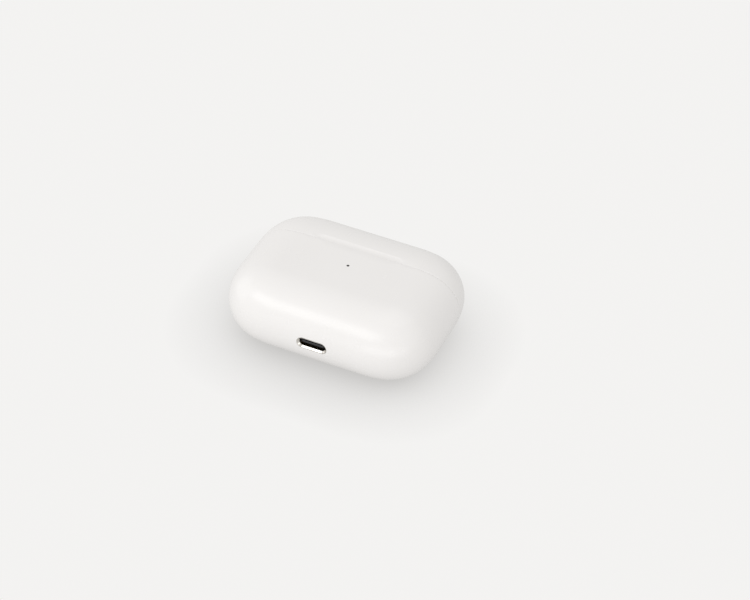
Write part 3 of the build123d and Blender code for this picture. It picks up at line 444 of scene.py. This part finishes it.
def barrel(name, start, end):
    """Hinge barrel along the lid's back edge: a rod about the hinge, trimmed to a hair inside the pebble."""
    rod = prism(name, circle_points(hinge_radius, "X", 40), (start, hinge_y, hinge_z), (end - start, 0, 0))
    form = pebble_skin("form_" + name)
    form.scale = [BARREL_SHRINK] * 3
    form.location.z = thickness / 2 * (1 - BARREL_SHRINK)
    boolean(rod, form, "INTERSECT")
    return finish_mesh(rod)


def scoop_cutter():
    """Capsule whose underside is the thumb scoop: rings of a ball, pulled apart along X."""
    radius = SCOOP_HEIGHT ** 2 / (2 * SCOOP_DEPTH)
    half = SCOOP_WIDTH / 2 - SCOOP_HEIGHT
    turn = np.linspace(-np.pi / 2, 0, SCOOP_STEPS)
    turn = np.concatenate([turn, -turn[::-1]])
    shift = half * np.repeat([-1, 1], SCOOP_STEPS)
    ring = circle_points(1.0, "X", 4 * SCOOP_STEPS)
    points = ring[None] * (radius * np.cos(turn))[:, None, None]
    points = points + (shift + radius * np.sin(turn))[:, None, None] * np.array([1, 0, 0])
    points = points + np.array([0, seam_y, thickness + radius - SCOOP_DEPTH])
    return mesh_object("scoop_cut", points.reshape(-1, 3), grid_faces(2 * SCOOP_STEPS, 4 * SCOOP_STEPS))


def lid_shell_piece():
    """Lid shell with its barrels, the thumb scoop and the openings for the metal hinge."""
    piece = pebble_skin("lid_shell_skin")
    cut_at_seam(piece, seam_y + SEAM_SHOWN / 2, False)
    shell_wall(piece)
    inner = metal_half + SWING_GAP
    for side in (-1, 1):
        boolean(piece, barrel(f"barrel{side}", side * inner, side * half_width), "UNION")
    boolean(piece, scoop_cutter())
    rod = circle_points(swing_radius, "X")
    boolean(piece, prism("knuckle_cut", rod, (-inner, hinge_y, hinge_z), (2 * inner, 0, 0)))
    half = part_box("hinge_arm")[1][0] + HINGE_FIT
    boolean(piece, hinge_window("arm_cut", half, hinge_y, hinge_y + ARM_REACH + HINGE_FIT))
    return finish_mesh(piece)


def add_sockets(group, kind, **sockets):
    """Named inputs or outputs of a node group, each with its type."""
    for name, held in sockets.items():
        group.interface.new_socket(name.replace("_", " "), in_out=kind, socket_type="NodeSocket" + held)


def polish_group():
    """Node group shared by the polished plastics: orange-peel ripple, hairlines and handling marks.

    Height is a fine noise. Wear is 0.6 of a broad noise, plus hairlines, the crests of a drawn-out noise.
    """
    group = bpy.data.node_groups.new("polished_moulding", "ShaderNodeTree")
    add_sockets(group, "INPUT", Ripple_Scale="Float", Hairline_Scale="Float")
    add_sockets(group, "OUTPUT", Height="Float", Wear="Float")
    inward, outward = group.nodes.new("NodeGroupInput"), group.nodes.new("NodeGroupOutput")
    where = add_node(group, "TexCoord")
    ripple = add_node(group, "TexNoise", {"Detail": 3})
    stretch = add_node(group, "Mapping", {"Rotation": (0.3, 0.5, 0.7), "Scale": (1.0, 0.06, 0.4)})
    hairline = add_node(group, "TexNoise", {"Detail": 6, "Roughness": 0.75})
    thin = add_node(group, "MapRange", {"From Min": 0.62, "From Max": 0.78})
    smudge = add_node(group, "TexNoise", {"Scale": 60, "Detail": 4})
    wear = add_node(group, "Math", {1: 0.6}, operation="MULTIPLY_ADD")
    link = group.links.new
    link(where.outputs["Object"], ripple.inputs["Vector"])
    link(inward.outputs["Ripple Scale"], ripple.inputs["Scale"])
    link(where.outputs["Object"], stretch.inputs["Vector"])
    link(stretch.outputs["Vector"], hairline.inputs["Vector"])
    link(inward.outputs["Hairline Scale"], hairline.inputs["Scale"])
    link(hairline.outputs["Fac"], thin.inputs["Value"])
    link(where.outputs["Object"], smudge.inputs["Vector"])
    link(smudge.outputs["Fac"], wear.inputs[0])
    link(thin.outputs["Result"], wear.inputs[2])
    link(wear.outputs["Value"], outward.inputs["Wear"])
    link(ripple.outputs["Fac"], outward.inputs["Height"])
    return group


polished_moulding = polish_group()


def new_material(name):
    """Material with its node tree and its Principled shader."""
    material = bpy.data.materials.new(name)
    material.use_nodes = True
    return material, material.node_tree, material.node_tree.nodes["Principled BSDF"]


def wire_shader(tree, shader, colours, tone, roughness, wear, bump, height):
    """Feeds the shader: tone mixes two colours, wear spans two roughnesses and height drives the bump."""
    mix = add_node(tree, "Mix", {"A": colours[0], "B": colours[1]}, data_type="RGBA")
    span = add_node(tree, "MapRange", {"To Min": roughness[0], "To Max": roughness[1]})
    dent = add_node(tree, "Bump", {"Strength": bump[0], "Distance": bump[1]})
    link = tree.links.new
    link(tone, mix.inputs["Factor"])
    link(wear, span.inputs["Value"])
    link(height, dent.inputs["Height"])
    link(mix.outputs["Result"], shader.inputs["Base Color"])
    link(span.outputs["Result"], shader.inputs["Roughness"])
    link(dent.outputs["Normal"], shader.inputs["Normal"])


def plastic(name, colour, shade, roughness, ripple=900, ripple_depth=0.004 * MM, hairline=500, coat=0.0):
    """Moulded plastic: base colour that drifts to a shade, roughness from wear marks, fine ripple as bump."""
    material, tree, shader = new_material(name)
    scales = {"Ripple Scale": ripple, "Hairline Scale": hairline}
    marks = add_node(tree, "Group", scales, node_tree=polished_moulding)
    wear = marks.outputs["Wear"]
    wire_shader(tree, shader, (colour, shade), wear, (roughness, roughness + 0.12), wear,
                (0.25, ripple_depth), marks.outputs["Height"])
    shader.inputs["IOR"].default_value = 1.52
    shader.inputs["Coat Weight"].default_value = coat
    shader.inputs["Coat Roughness"].default_value = 0.08
    return material


def dress(piece, material):
    """Gives every material slot of a piece the same material."""
    if not piece.material_slots:
        piece.data.materials.append(material)
    for each in piece.material_slots:
        each.material = material


shell_white = plastic("shell_white", SHELL_WHITE, SHELL_SHADE, 0.23)
body_shell = body_shell_piece()
dress(body_shell, shell_white)
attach(body_shell, "case")
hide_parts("body_shell")
lid_shell = lid_shell_piece()
dress(lid_shell, shell_white)
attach(lid_shell, "lid")
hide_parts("lid_shell")

# ---------------------------------------------------------------------------------------------------
# Hinge: stamped and folded stainless steel leaves on a ground pin, with a sprung detent leaf.
# The leaves are satin brushed along the hinge line; the spring is a darker blued strip.
STEEL = (0.56, 0.56, 0.57, 1.0)
STEEL_SHADE = (0.40, 0.40, 0.42, 1.0)
SPRING_STEEL = (0.36, 0.36, 0.38, 1.0)
SPRING_SHADE = (0.22, 0.22, 0.26, 1.0)


def brushing_group():
    """Node group shared by the metals: long brushing lines, fine pits and rubbed patches.

    Tone is 0.55 of the stretched grain noise and 0.45 of a broad noise. Height is the grain less its pits.
    """
    group = bpy.data.node_groups.new("brushed_metal", "ShaderNodeTree")
    add_sockets(group, "INPUT", Grain_Scale="Float", Pit_Scale="Float", Grain_Stretch="Vector")
    add_sockets(group, "OUTPUT", Tone="Float", Height="Float")
    inward, outward = group.nodes.new("NodeGroupInput"), group.nodes.new("NodeGroupOutput")
    where = add_node(group, "TexCoord")
    stretch = add_node(group, "Mapping")
    grain = add_node(group, "TexNoise", {"Detail": 5, "Roughness": 0.7})
    rubbed = add_node(group, "TexNoise", {"Scale": 350, "Detail": 3})
    pits = add_node(group, "TexVoronoi")
    pit = add_node(group, "MapRange", {"From Max": 0.25})
    half = add_node(group, "Math", {1: 0.45}, operation="MULTIPLY")
    tone = add_node(group, "Math", {1: 0.55}, operation="MULTIPLY_ADD")
    height = add_node(group, "Math", operation="MULTIPLY")
    link = group.links.new
    link(where.outputs["Object"], stretch.inputs["Vector"])
    link(inward.outputs["Grain Stretch"], stretch.inputs["Scale"])
    link(stretch.outputs["Vector"], grain.inputs["Vector"])
    link(inward.outputs["Grain Scale"], grain.inputs["Scale"])
    link(where.outputs["Object"], rubbed.inputs["Vector"])
    link(where.outputs["Object"], pits.inputs["Vector"])
    link(inward.outputs["Pit Scale"], pits.inputs["Scale"])
    link(pits.outputs["Distance"], pit.inputs["Value"])
    link(rubbed.outputs["Fac"], half.inputs[0])
    link(grain.outputs["Fac"], tone.inputs[0])
    link(half.outputs["Value"], tone.inputs[2])
    link(grain.outputs["Fac"], height.inputs[0])
    link(pit.outputs["Result"], height.inputs[1])
    link(tone.outputs["Value"], outward.inputs["Tone"])
    link(height.outputs["Value"], outward.inputs["Height"])
    return group


brushed_metal = brushing_group()


def metal(name, colour, shade, roughness, stretch=(0.03, 1, 1), grain=9000, pits=4000, depth=0.003 * MM):
    """Bare or plated metal: colour drifts to a shade with the grain, which also roughens and dents it."""
    material, tree, shader = new_material(name)
    shader.inputs["Metallic"].default_value = 1.0
    scales = {"Grain Scale": grain, "Pit Scale": pits, "Grain Stretch": stretch}
    marks = add_node(tree, "Group", scales, node_tree=brushed_metal)
    spread = add_node(tree, "MapRange", {"From Min": 0.35, "From Max": 0.65})
    tree.links.new(marks.outputs["Tone"], spread.inputs["Value"])
    tone = spread.outputs["Result"]
    wire_shader(tree, shader, (colour, shade), tone, (roughness, roughness + 0.15), tone,
                (0.5, depth), marks.outputs["Height"])
    return material


def coat(material, *names):
    """Puts a material on carried-over nodes; a name ending in an underscore means a left and a right one."""
    for name in names:
        for each in ([name + "left", name + "right"] if name.endswith("_") else [name]):
            dress(nodes[each], material)


hinge_steel = metal("hinge_stainless", STEEL, STEEL_SHADE, 0.26)
coat(hinge_steel, "hinge_frame", "hinge_arm")
coat(metal("hinge_pin_ground", STEEL, STEEL_SHADE, 0.14, (1, 0.02, 0.02), 6000), "hinge_pin")
coat(metal("detent_spring_strip", SPRING_STEEL, SPRING_SHADE, 0.22), "detent_spring")

# ---------------------------------------------------------------------------------------------------
# Charging port: a drawn steel sleeve behind a polished trim ring, a black tongue with plated contacts,
# a folded bracket that holds it to the board, and two pan-head screws.
PORT_STEEL = (0.62, 0.60, 0.57, 1.0)
PORT_SHADE = (0.42, 0.40, 0.38, 1.0)
PORT_DARK = (0.16, 0.155, 0.15, 1.0)
GOLD = (0.83, 0.58, 0.22, 1.0)
GOLD_SHADE = (0.66, 0.45, 0.20, 1.0)
BLACK = (0.018, 0.018, 0.02, 1.0)
BLACK_SHADE = (0.03, 0.03, 0.033, 1.0)

coat(metal("port_trim_polished", (0.80, 0.77, 0.72, 1), PORT_STEEL, 0.10), "port_trim_ring")
coat(metal("port_sleeve_drawn", PORT_STEEL, PORT_SHADE, 0.20, (1, 0.05, 1)), "port_sleeve")
coat(metal("port_bracket_folded", PORT_STEEL, PORT_DARK, 0.30), "port_bracket", "port_screws")
gold_plate = metal("gold_plate", GOLD, GOLD_SHADE, 0.18, (1, 1, 1), 5000)
coat(gold_plate, "port_contacts")
black_moulding = plastic("black_moulding", BLACK, BLACK_SHADE, 0.42, 2500, 0.006 * MM)
coat(black_moulding, "port_tongue")

# ---------------------------------------------------------------------------------------------------
# Setup button and status light: a glossy cap over a dome switch, and a light pipe in front of the LED.
# The cap is the shell's own polycarbonate; the pipe is smoked, so it reads as a dark dot when unlit.
SMOKED = (0.03, 0.027, 0.025, 1.0)
DIODE = (0.74, 0.60, 0.26, 1.0)
DIODE_SHADE = (0.62, 0.50, 0.22, 1.0)
CERAMIC = (0.42, 0.31, 0.20, 1.0)
CERAMIC_SHADE = (0.30, 0.21, 0.13, 1.0)

coat(shell_white, "setup_button")
coat(black_moulding, "button_switch")
smoked_lens = plastic("smoked_lens", SMOKED, (0.045, 0.04, 0.036, 1), 0.08, 1500, 0.002 * MM, coat=0.5)
coat(smoked_lens, "light_pipe")
coat(plastic("diode_lens", DIODE, DIODE_SHADE, 0.25, 4000, coat=0.3), "status_led")
ceramic = plastic("fired_ceramic", CERAMIC, CERAMIC_SHADE, 0.45, 6000, 0.008 * MM)
coat(ceramic, "board_capacitors")

# ---------------------------------------------------------------------------------------------------
# Bud tray and lid liner: satin white polycarbonate, spark-textured so that it hides rubbing.
# Both press into the shells; soft white bumpers in the liner hold the earbuds down.
TRAY_WHITE = (0.83, 0.82, 0.80, 1.0)
TRAY_SHADE = (0.76, 0.75, 0.73, 1.0)
SILICONE = (0.84, 0.84, 0.83, 1.0)
SILICONE_SHADE = (0.76, 0.76, 0.76, 1.0)

tray_white = plastic("tray_satin", TRAY_WHITE, TRAY_SHADE, 0.34, 5000, 0.008 * MM, 700)
coat(tray_white, "bud_tray", "lid_liner")
silicone = plastic("soft_silicone", SILICONE, SILICONE_SHADE, 0.48, 3500, 0.005 * MM, 300)
silicone.node_tree.nodes["Principled BSDF"].inputs["Subsurface Weight"].default_value = 0.25
silicone.node_tree.nodes["Principled BSDF"].inputs["Subsurface Scale"].default_value = 0.4 * MM
coat(silicone, "lid_bumpers")

# ---------------------------------------------------------------------------------------------------
# Earbuds: glossy white shells with silicone tips, black acoustic mesh and a plated contact at the stem's end.
# Head and stem are welded mouldings; the tip snaps over the nozzle; the meshes are glued in their windows.
MESH_WIRE = (0.10, 0.10, 0.11, 1.0)
# The hole colour is painted shade: the dark inside of the bud seen through the mesh.
HOLE_PAINTED_SHADE = (0.006, 0.006, 0.006, 1.0)
MESH_PITCH = 0.16 * MM
BAND_LENGTH = 0.314  # metres from band to band in a wave texture whose scale is 1
SILVER = (0.78, 0.78, 0.77, 1.0)
SILVER_SHADE = (0.62, 0.62, 0.62, 1.0)


def woven_mesh(name, turn):
    """Woven acoustic mesh: height, metalness and colour follow the larger of two crossed rows of round wires.
    The wires are their own dark grey. The darkening down each wire's flanks and the near black of the holes
    are painted shade, standing for the dark inside seen through the mesh.
    """
    material, tree, shader = new_material(name)
    where = add_node(tree, "TexCoord")
    lay = add_node(tree, "Mapping", {"Rotation": turn})
    scale = {"Scale": BAND_LENGTH / MESH_PITCH}
    rows = [add_node(tree, "TexWave", scale, bands_direction=way) for way in "XY"]
    cross = add_node(tree, "Math", operation="MAXIMUM")
    wire = add_node(tree, "MapRange", {"From Min": 0.45, "From Max": 0.95})
    dust = add_node(tree, "TexNoise", {"Scale": 3000})
    link = tree.links.new
    link(where.outputs["Object"], lay.inputs["Vector"])
    for place, row in enumerate(rows):
        link(lay.outputs["Vector"], row.inputs["Vector"])
        link(row.outputs["Fac"], cross.inputs[place])
    link(cross.outputs["Value"], wire.inputs["Value"])
    link(where.outputs["Object"], dust.inputs["Vector"])
    link(wire.outputs["Result"], shader.inputs["Metallic"])
    # Colour follows wire height: painted shade down the wire flanks, near-black painted shade in the holes.
    wire_shader(tree, shader, (HOLE_PAINTED_SHADE, MESH_WIRE), wire.outputs["Result"], (0.32, 0.6),
                dust.outputs["Fac"], (1.0, 0.03 * MM), cross.outputs["Value"])
    return material


HEAD_HALF_DEPTH = 6.3 * MM
HEAD_RADIUS = 7.2 * MM
STEM_RADIUS = 2.85 * MM
NECK_BLEND = 1.0 * MM
HEAD_X, HEAD_Z = 15.0 * MM, 10.6 * MM
NOZZLE_TILT = radians(14)
NOZZLE_RADIUS = 2.4 * MM
NOZZLE_WALL = 0.4 * MM
NOZZLE_REACH = 10.2 * MM
NOZZLE_FLARE = 0.9 * MM
NOZZLE_FLARE_FADE = 0.35 * MM
NOZZLE_ROOT = 3.5 * MM
NOZZLE_LIP = 0.15 * MM
MOUTH_DEPTH = 0.5 * MM
VENT_WIDTH, VENT_HEIGHT = 5.24 * MM, 2.24 * MM
VENT_FLOOR = 6.0 * MM
VENT_FACING = Vector((0.25, 0.45, 0.86)).normalized()
VENT_ALONG = Vector((0.96, -0.13, -0.21))
STEM_HANDOVER = -2 * MM
EYE_DROP = 2.8 * MM
RAY_REACH = 20 * MM
HALVINGS = 30
AROUND = 72
stem_low, stem_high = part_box("earbud_stem_right")
stem_x, stem_z = stem_high[0] - STEM_RADIUS, stem_high[2] - STEM_RADIUS
head_centre = np.array([HEAD_X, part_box("earbud_head_right")[1][1] - HEAD_RADIUS, HEAD_Z])
nozzle_axis = np.array([-cos(NOZZLE_TILT), 0, -sin(NOZZLE_TILT)])


def bud_distance(points):
    """Signed distance to the bud: the head's turned oval and the stem's cylinder, blended at the neck.

    The oval is a waist arc between two cap arcs that meet it at 45 degrees. The blend takes the smaller
    distance, less a parabola where the two are within the neck's blend width of each other.
    """
    root = sqrt(2)
    waist = (HEAD_HALF_DEPTH + HEAD_RADIUS - root * HEAD_RADIUS) / (2 - root)
    cap = HEAD_HALF_DEPTH + HEAD_RADIUS - waist
    from_head = points - head_centre
    along = np.abs(from_head @ nozzle_axis)
    out = np.sqrt(np.maximum((from_head ** 2).sum(-1) - along ** 2, 0))
    on_cap = np.arctan2(out, along + cap - HEAD_HALF_DEPTH) < np.pi / 4
    to_cap = np.hypot(out, along + cap - HEAD_HALF_DEPTH) - cap
    to_waist = np.hypot(out - HEAD_RADIUS + waist, along) - waist
    head = np.where(on_cap, to_cap, to_waist)
    stem = np.hypot(points[..., 0] - stem_x, points[..., 2] - stem_z) - STEM_RADIUS
    stem = np.maximum(stem, points[..., 1] - head_centre[1])
    share = np.clip(0.5 + 0.5 * (stem - head) / NECK_BLEND, 0, 1)
    return stem * (1 - share) + head * share - NECK_BLEND * share * (1 - share)


def bud_surface():
    """Grid over the bud from the stem's end to the crown of the head.

    Stem rows are circles. Head rows are where rays from a point on the stem's axis inside the head meet
    the bud, found by halving: downward rays aim at circles on the stem, upward rays tilt evenly to +Y.
    """
    around = circle_points(1.0, "Y", AROUND)
    eye = np.array([stem_x, head_centre[1] - EYE_DROP, stem_z])
    low = stem_low[1]
    ends = np.array([[0.94, 0], [0.985, 0.06], [1.0, 0.16]])
    levels = np.concatenate([low + ends[:, 1] * MM, np.linspace(low + 0.6 * MM, STEM_HANDOVER, 14)[:-1]])
    radii = np.concatenate([ends[:, 0], np.ones(13)]) * STEM_RADIUS
    stem_rows = radii[:, None, None] * around + levels[:, None, None] * np.array([0, 1, 0])
    stem_rows = stem_rows + np.array([stem_x, 0, stem_z])
    aims = np.linspace(STEM_HANDOVER, eye[1], 56)[:, None, None] * np.array([0, 1, 0]) + STEM_RADIUS * around
    downward = aims - np.array([0, eye[1], 0])
    tilt = np.linspace(0, np.pi / 2, 41)[1:]
    upward = np.cos(tilt)[:, None, None] * around + np.sin(tilt)[:, None, None] * np.array([0, 1, 0])
    rays = np.concatenate([downward, upward])
    rays = rays / np.linalg.norm(rays, axis=-1, keepdims=True)
    near, far = np.zeros(rays.shape[:2]), np.full(rays.shape[:2], RAY_REACH)
    for _ in range(HALVINGS):
        middle = (near + far) / 2
        inside = bud_distance(eye + rays * middle[..., None]) < 0
        near, far = np.where(inside, middle, near), np.where(inside, far, middle)
    rows = np.concatenate([stem_rows, eye + rays * near[..., None]])
    faces = [list(q) for q in grid_faces(len(rows), AROUND)] + [list(range(AROUND))]
    return rows.reshape(-1, 3), faces


def lathe(profile, centre, axis, count=64):
    """Surface of revolution: profile rows of (radius, distance) turned about an axis through the centre."""
    side = np.array([0.0, 1.0, 0.0])
    other = np.cross(axis, side)
    turn = np.arange(count) * 2 * np.pi / count
    ring = np.cos(turn)[:, None] * side + np.sin(turn)[:, None] * other
    profile = np.asarray(profile, float)
    points = centre + profile[:, 0, None, None] * ring + profile[:, 1, None, None] * axis
    return points.reshape(-1, 3), grid_faces(len(profile), count)


def nozzle_profile():
    """Nozzle: a tube that flares into the head, with a rounded lip and a shallow bore for the grille."""
    lip_start = NOZZLE_REACH - NOZZLE_LIP
    reach = np.linspace(NOZZLE_ROOT, lip_start, 30)
    flare = np.exp(-np.maximum(reach - HEAD_HALF_DEPTH, 0) / NOZZLE_FLARE_FADE)
    outside = NOZZLE_RADIUS + NOZZLE_FLARE * flare
    lip = np.linspace(0, np.pi, 9)
    half = NOZZLE_WALL / 2
    lip_rows = np.stack([NOZZLE_RADIUS - half + half * np.cos(lip), lip_start + NOZZLE_LIP * np.sin(lip)], 1)
    floor = NOZZLE_REACH - MOUTH_DEPTH
    bore = np.array([[NOZZLE_RADIUS - NOZZLE_WALL, floor], [0, floor]])
    start = np.array([[0, reach[0]]])
    return np.concatenate([start, np.stack([outside, reach], 1), lip_rows, bore])


def bud_shell(side):
    """One bud: head, neck and stem with the nozzle joined on and a pocket for the vent mesh."""
    flip = np.array([1 if side == "right" else -1, 1, 1])
    points, faces = bud_surface()
    bud = mesh_object("earbud_shell_" + side, points * flip, faces)
    points, faces = lathe(nozzle_profile(), head_centre, nozzle_axis)
    boolean(bud, mesh_object("nozzle_" + side, points * flip, faces), "UNION")
    across = (VENT_ALONG - VENT_FACING * VENT_ALONG.dot(VENT_FACING)).normalized()
    vent_axes = np.array([across, VENT_FACING.cross(across), VENT_FACING])
    slot = racetrack_points(VENT_WIDTH, VENT_HEIGHT)[:, [0, 2, 1]] @ vent_axes + head_centre
    facing = np.array(VENT_FACING) * flip
    boolean(bud, prism("vent_" + side, slot * flip, facing * VENT_FLOOR, facing * CUT_REACH))
    finish_mesh(bud, 50)
    dress(bud, shell_white)
    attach(bud, "earbud_" + side)
    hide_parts("earbud_head_" + side, "earbud_stem_" + side)


bud_shell("right")
bud_shell("left")
TIP_RADIUS = 5.2 * MM
TIP_MOUTH = 2.9 * MM
TIP_BORE = 2.43 * MM
TIP_START = 7.4 * MM
TIP_END = 12.7 * MM
TIP_WAIST = 8.5 * MM
TIP_SKIN = 0.55 * MM
TIP_SHOULDER = 0.7
SKIRT_PULL = 0.25 * MM


def tip_profile():
    """Closed section of the tip as (radius, distance): bore, rounded mouth, dome, skirt, rim and inside.

    The dome is an oval whose cosine is raised to 0.7 to fill its shoulder; the inside is a smaller oval.
    """
    half = TIP_SKIN / 2
    rise = TIP_END - TIP_WAIST
    turn = np.linspace(np.pi / 2, 0, 26)
    reach = TIP_RADIUS - TIP_MOUTH
    dome = np.stack([TIP_MOUTH + reach * np.cos(turn) ** TIP_SHOULDER, TIP_WAIST + rise * np.sin(turn)], 1)
    fall = np.linspace(0, 1, 8)[1:]
    drop = TIP_WAIST - TIP_START - half
    skirt = np.stack([TIP_RADIUS - SKIRT_PULL * fall ** 2, TIP_WAIST - drop * fall], 1)
    bend = np.linspace(0, np.pi, 9)[1:-1]
    rim_radius = skirt[-1, 0] - half
    rim = np.stack([rim_radius + half * np.cos(bend), TIP_START + half - half * np.sin(bend)], 1)
    turn = np.linspace(0, np.radians(84), 20)
    rise, reach = rise - 1.6 * TIP_SKIN, reach - TIP_SKIN
    inside = np.stack([TIP_MOUTH + reach * np.cos(turn) ** TIP_SHOULDER, TIP_WAIST + rise * np.sin(turn)], 1)
    inside[:, 0] = np.minimum(inside[:, 0], rim_radius - half + (inside[:, 1] - TIP_START) * 0.5)
    outer, lead, foot = TIP_BORE + TIP_SKIN, 0.15 * MM, TIP_START + 0.35 * MM
    sleeve = np.array([[outer, inside[-1, 1] - 2 * lead], [outer, foot],
                       [TIP_BORE + 0.4 * TIP_SKIN, foot - lead], [TIP_BORE, foot],
                       [TIP_BORE, TIP_END - 0.35 * MM], [TIP_BORE + lead, TIP_END - 0.1 * MM]])
    return np.concatenate([dome, skirt, rim, inside, sleeve, dome[:1]])


def ear_tip(side):
    """Soft tip: the closed section turned about the nozzle's axis."""
    flip = np.array([1 if side == "right" else -1, 1, 1])
    points, faces = lathe(tip_profile(), head_centre, nozzle_axis, AROUND)
    tip = mesh_object("soft_tip_" + side, points * flip, faces)
    finish_mesh(tip, 70)
    dress(tip, silicone)
    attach(tip, "earbud_" + side)
    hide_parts("earbud_tip_" + side)


ear_tip("right")
ear_tip("left")
coat(woven_mesh("vent_weave", (0, 0, radians(45))), "earbud_vent_mesh_")
coat(woven_mesh("nozzle_weave", (0, radians(90), 0)), "earbud_nozzle_mesh_")
silver_plate = metal("silver_plate", SILVER, SILVER_SHADE, 0.16, (1, 1, 1), 5000)
coat(silver_plate, "earbud_contacts_")

# ---------------------------------------------------------------------------------------------------
# Charging contacts: black blocks that carry sprung, silver-plated pins at the foot of each well.
# Each block's flex tail is amber film over copper tracks.
AMBER = (0.42, 0.19, 0.045, 1.0)
TRACK = (0.62, 0.34, 0.12, 1.0)


def printed_film(name, colour, track, pitch, direction, roughness):
    """Film or board over copper tracks: parallel tracks show as raised, brighter bands broken by gaps."""
    material, tree, shader = new_material(name)
    where = add_node(tree, "TexCoord")
    wave = {"Scale": BAND_LENGTH / pitch, "Distortion": 0.6, "Detail Scale": 0.3}
    bands = add_node(tree, "TexWave", wave, bands_direction=direction)
    edge = add_node(tree, "MapRange", {"From Min": 0.45, "From Max": 0.6})
    cells = add_node(tree, "TexVoronoi", {"Scale": 0.35 / pitch}, distance="CHEBYCHEV")
    kept = add_node(tree, "MapRange", {"From Min": 0.18, "From Max": 0.22})
    tracks = add_node(tree, "Math", operation="MULTIPLY")
    scales = {"Ripple Scale": 1500, "Hairline Scale": 900}
    marks = add_node(tree, "Group", scales, node_tree=polished_moulding)
    link = tree.links.new
    link(where.outputs["Object"], bands.inputs["Vector"])
    link(where.outputs["Object"], cells.inputs["Vector"])
    link(bands.outputs["Fac"], edge.inputs["Value"])
    link(cells.outputs["Distance"], kept.inputs["Value"])
    link(edge.outputs["Result"], tracks.inputs[0])
    link(kept.outputs["Result"], tracks.inputs[1])
    wire_shader(tree, shader, (colour, track), tracks.outputs["Value"], (roughness, roughness + 0.2),
                marks.outputs["Wear"], (1.0, 0.02 * MM), tracks.outputs["Value"])
    return material


coat(black_moulding, "contact_block_")
coat(silver_plate, *[name for name in nodes if name.startswith("contact_pin_")])
amber_film = printed_film("amber_film", AMBER, TRACK, 0.35 * MM, "X", 0.25)
coat(amber_film, "contact_flex_", "port_flex", "battery_flex", "status_light_strip")

# ---------------------------------------------------------------------------------------------------
# Main board: green solder mask over copper, with a drawn shield can, moulded chips, sockets and screws.
MASK_GREEN = (0.008, 0.075, 0.038, 1.0)
MASK_TRACK = (0.02, 0.17, 0.08, 1.0)

coat(printed_film("solder_mask", MASK_GREEN, MASK_TRACK, 0.5 * MM, "DIAGONAL", 0.3), "main_board")
coat(metal("shield_can_tinned", (0.68, 0.68, 0.66, 1), STEEL, 0.24, (0.05, 1, 1)), "shield_can")
coat(black_moulding, "power_chips", "flex_sockets", "lid_sensor")
coat(metal("screw_steel", STEEL, SPRING_STEEL, 0.25, (1, 1, 1), 5000), "board_screws")

# ---------------------------------------------------------------------------------------------------
# Batteries: two pouch cells in crinkled aluminium laminate on black foam pads.
FOIL = (0.66, 0.67, 0.69, 1.0)
FOIL_SHADE = (0.52, 0.53, 0.56, 1.0)
FOAM = (0.035, 0.035, 0.037, 1.0)

pouch_foil = metal("pouch_foil", FOIL, FOIL_SHADE, 0.30, (1, 1, 1), 450, 900, 0.05 * MM)
coat(pouch_foil, "battery_front", "battery_rear")
coat(plastic("open_foam", FOAM, (0.055, 0.055, 0.058, 1), 0.8, 6000, 0.06 * MM), "battery_pads")

# ---------------------------------------------------------------------------------------------------
# Charging coil: enamelled copper wire wound flat in a racetrack, bonded to a dark ferrite sheet.
COPPER = (0.60, 0.24, 0.09, 1.0)
COPPER_SHADE = (0.42, 0.15, 0.055, 1.0)
FERRITE = (0.045, 0.042, 0.042, 1.0)
WIRE_TURNS = 8
TURN_STEPS = 48
WIRE_SIDES = 8
WINDING_WIDTH = 3.2 * MM
WIRE_FILL = 0.97


def wound_coil():
    """Two layers of wire wound flat: a tube whose centre line is a stadium that grows by one pitch a turn.

    The centre line is a half-circle centre plus the growing radius along the angle; the tube is round it.
    """
    low, high = np.array(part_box("charging_coil"))
    pitch = WINDING_WIDTH / WIRE_TURNS
    wire = (high[2] - low[2]) / 4
    outer = (high[1] - low[1]) / 2
    shift = (high[0] - low[0]) / 2 - outer
    step = np.arange(WIRE_TURNS * TURN_STEPS + 1)
    angle = step * 2 * np.pi / TURN_STEPS
    grown = np.minimum(step / TURN_STEPS, WIRE_TURNS - 1)
    radius = outer - wire - (WIRE_TURNS - 1) * pitch + grown * pitch
    normal = np.stack([np.cos(angle), np.sin(angle), np.zeros(len(step))], 1)
    push = np.where(np.cos(angle) > 0, shift, -shift)
    line = normal * radius[:, None] + push[:, None] * np.array([1, 0, 0])
    turn = np.arange(WIRE_SIDES) * 2 * np.pi / WIRE_SIDES
    section = np.cos(turn)[:, None] * normal[:, None] + np.sin(turn)[:, None] * np.array([0, 0, 1])
    points, faces = [], []
    for layer in (1, 3):
        centre = np.array([(low[0] + high[0]) / 2, (low[1] + high[1]) / 2, low[2] + layer * wire])
        start = len(points) * len(step) * WIRE_SIDES
        end = start + (len(step) - 1) * WIRE_SIDES
        points.append((line[:, None] + section * wire * WIRE_FILL + centre).reshape(-1, 3))
        faces += (grid_faces(len(step), WIRE_SIDES) + start).tolist()
        faces += [list(range(start, start + WIRE_SIDES)), list(range(end, end + WIRE_SIDES))]
    return mesh_object("wound_coil", np.concatenate(points), faces)


coil = finish_mesh(wound_coil(), 60)
dress(coil, metal("enamelled_copper", COPPER, COPPER_SHADE, 0.22, (1, 1, 1), 3000))
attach(coil, "case")
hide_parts("charging_coil")
coat(plastic("ferrite_dark", FERRITE, (0.07, 0.066, 0.064, 1), 0.55, 2200, 0.02 * MM), "ferrite_sheet")

# ---------------------------------------------------------------------------------------------------
# Magnets: nickel-plated blocks that close the lid and hold the earbuds in their wells.
NICKEL = (0.62, 0.60, 0.56, 1.0)

coat(metal("nickel_plate", NICKEL, (0.50, 0.48, 0.45, 1), 0.18, (1, 1, 1), 2500),
     "closure_magnets", "lid_magnets", "tray_magnets")
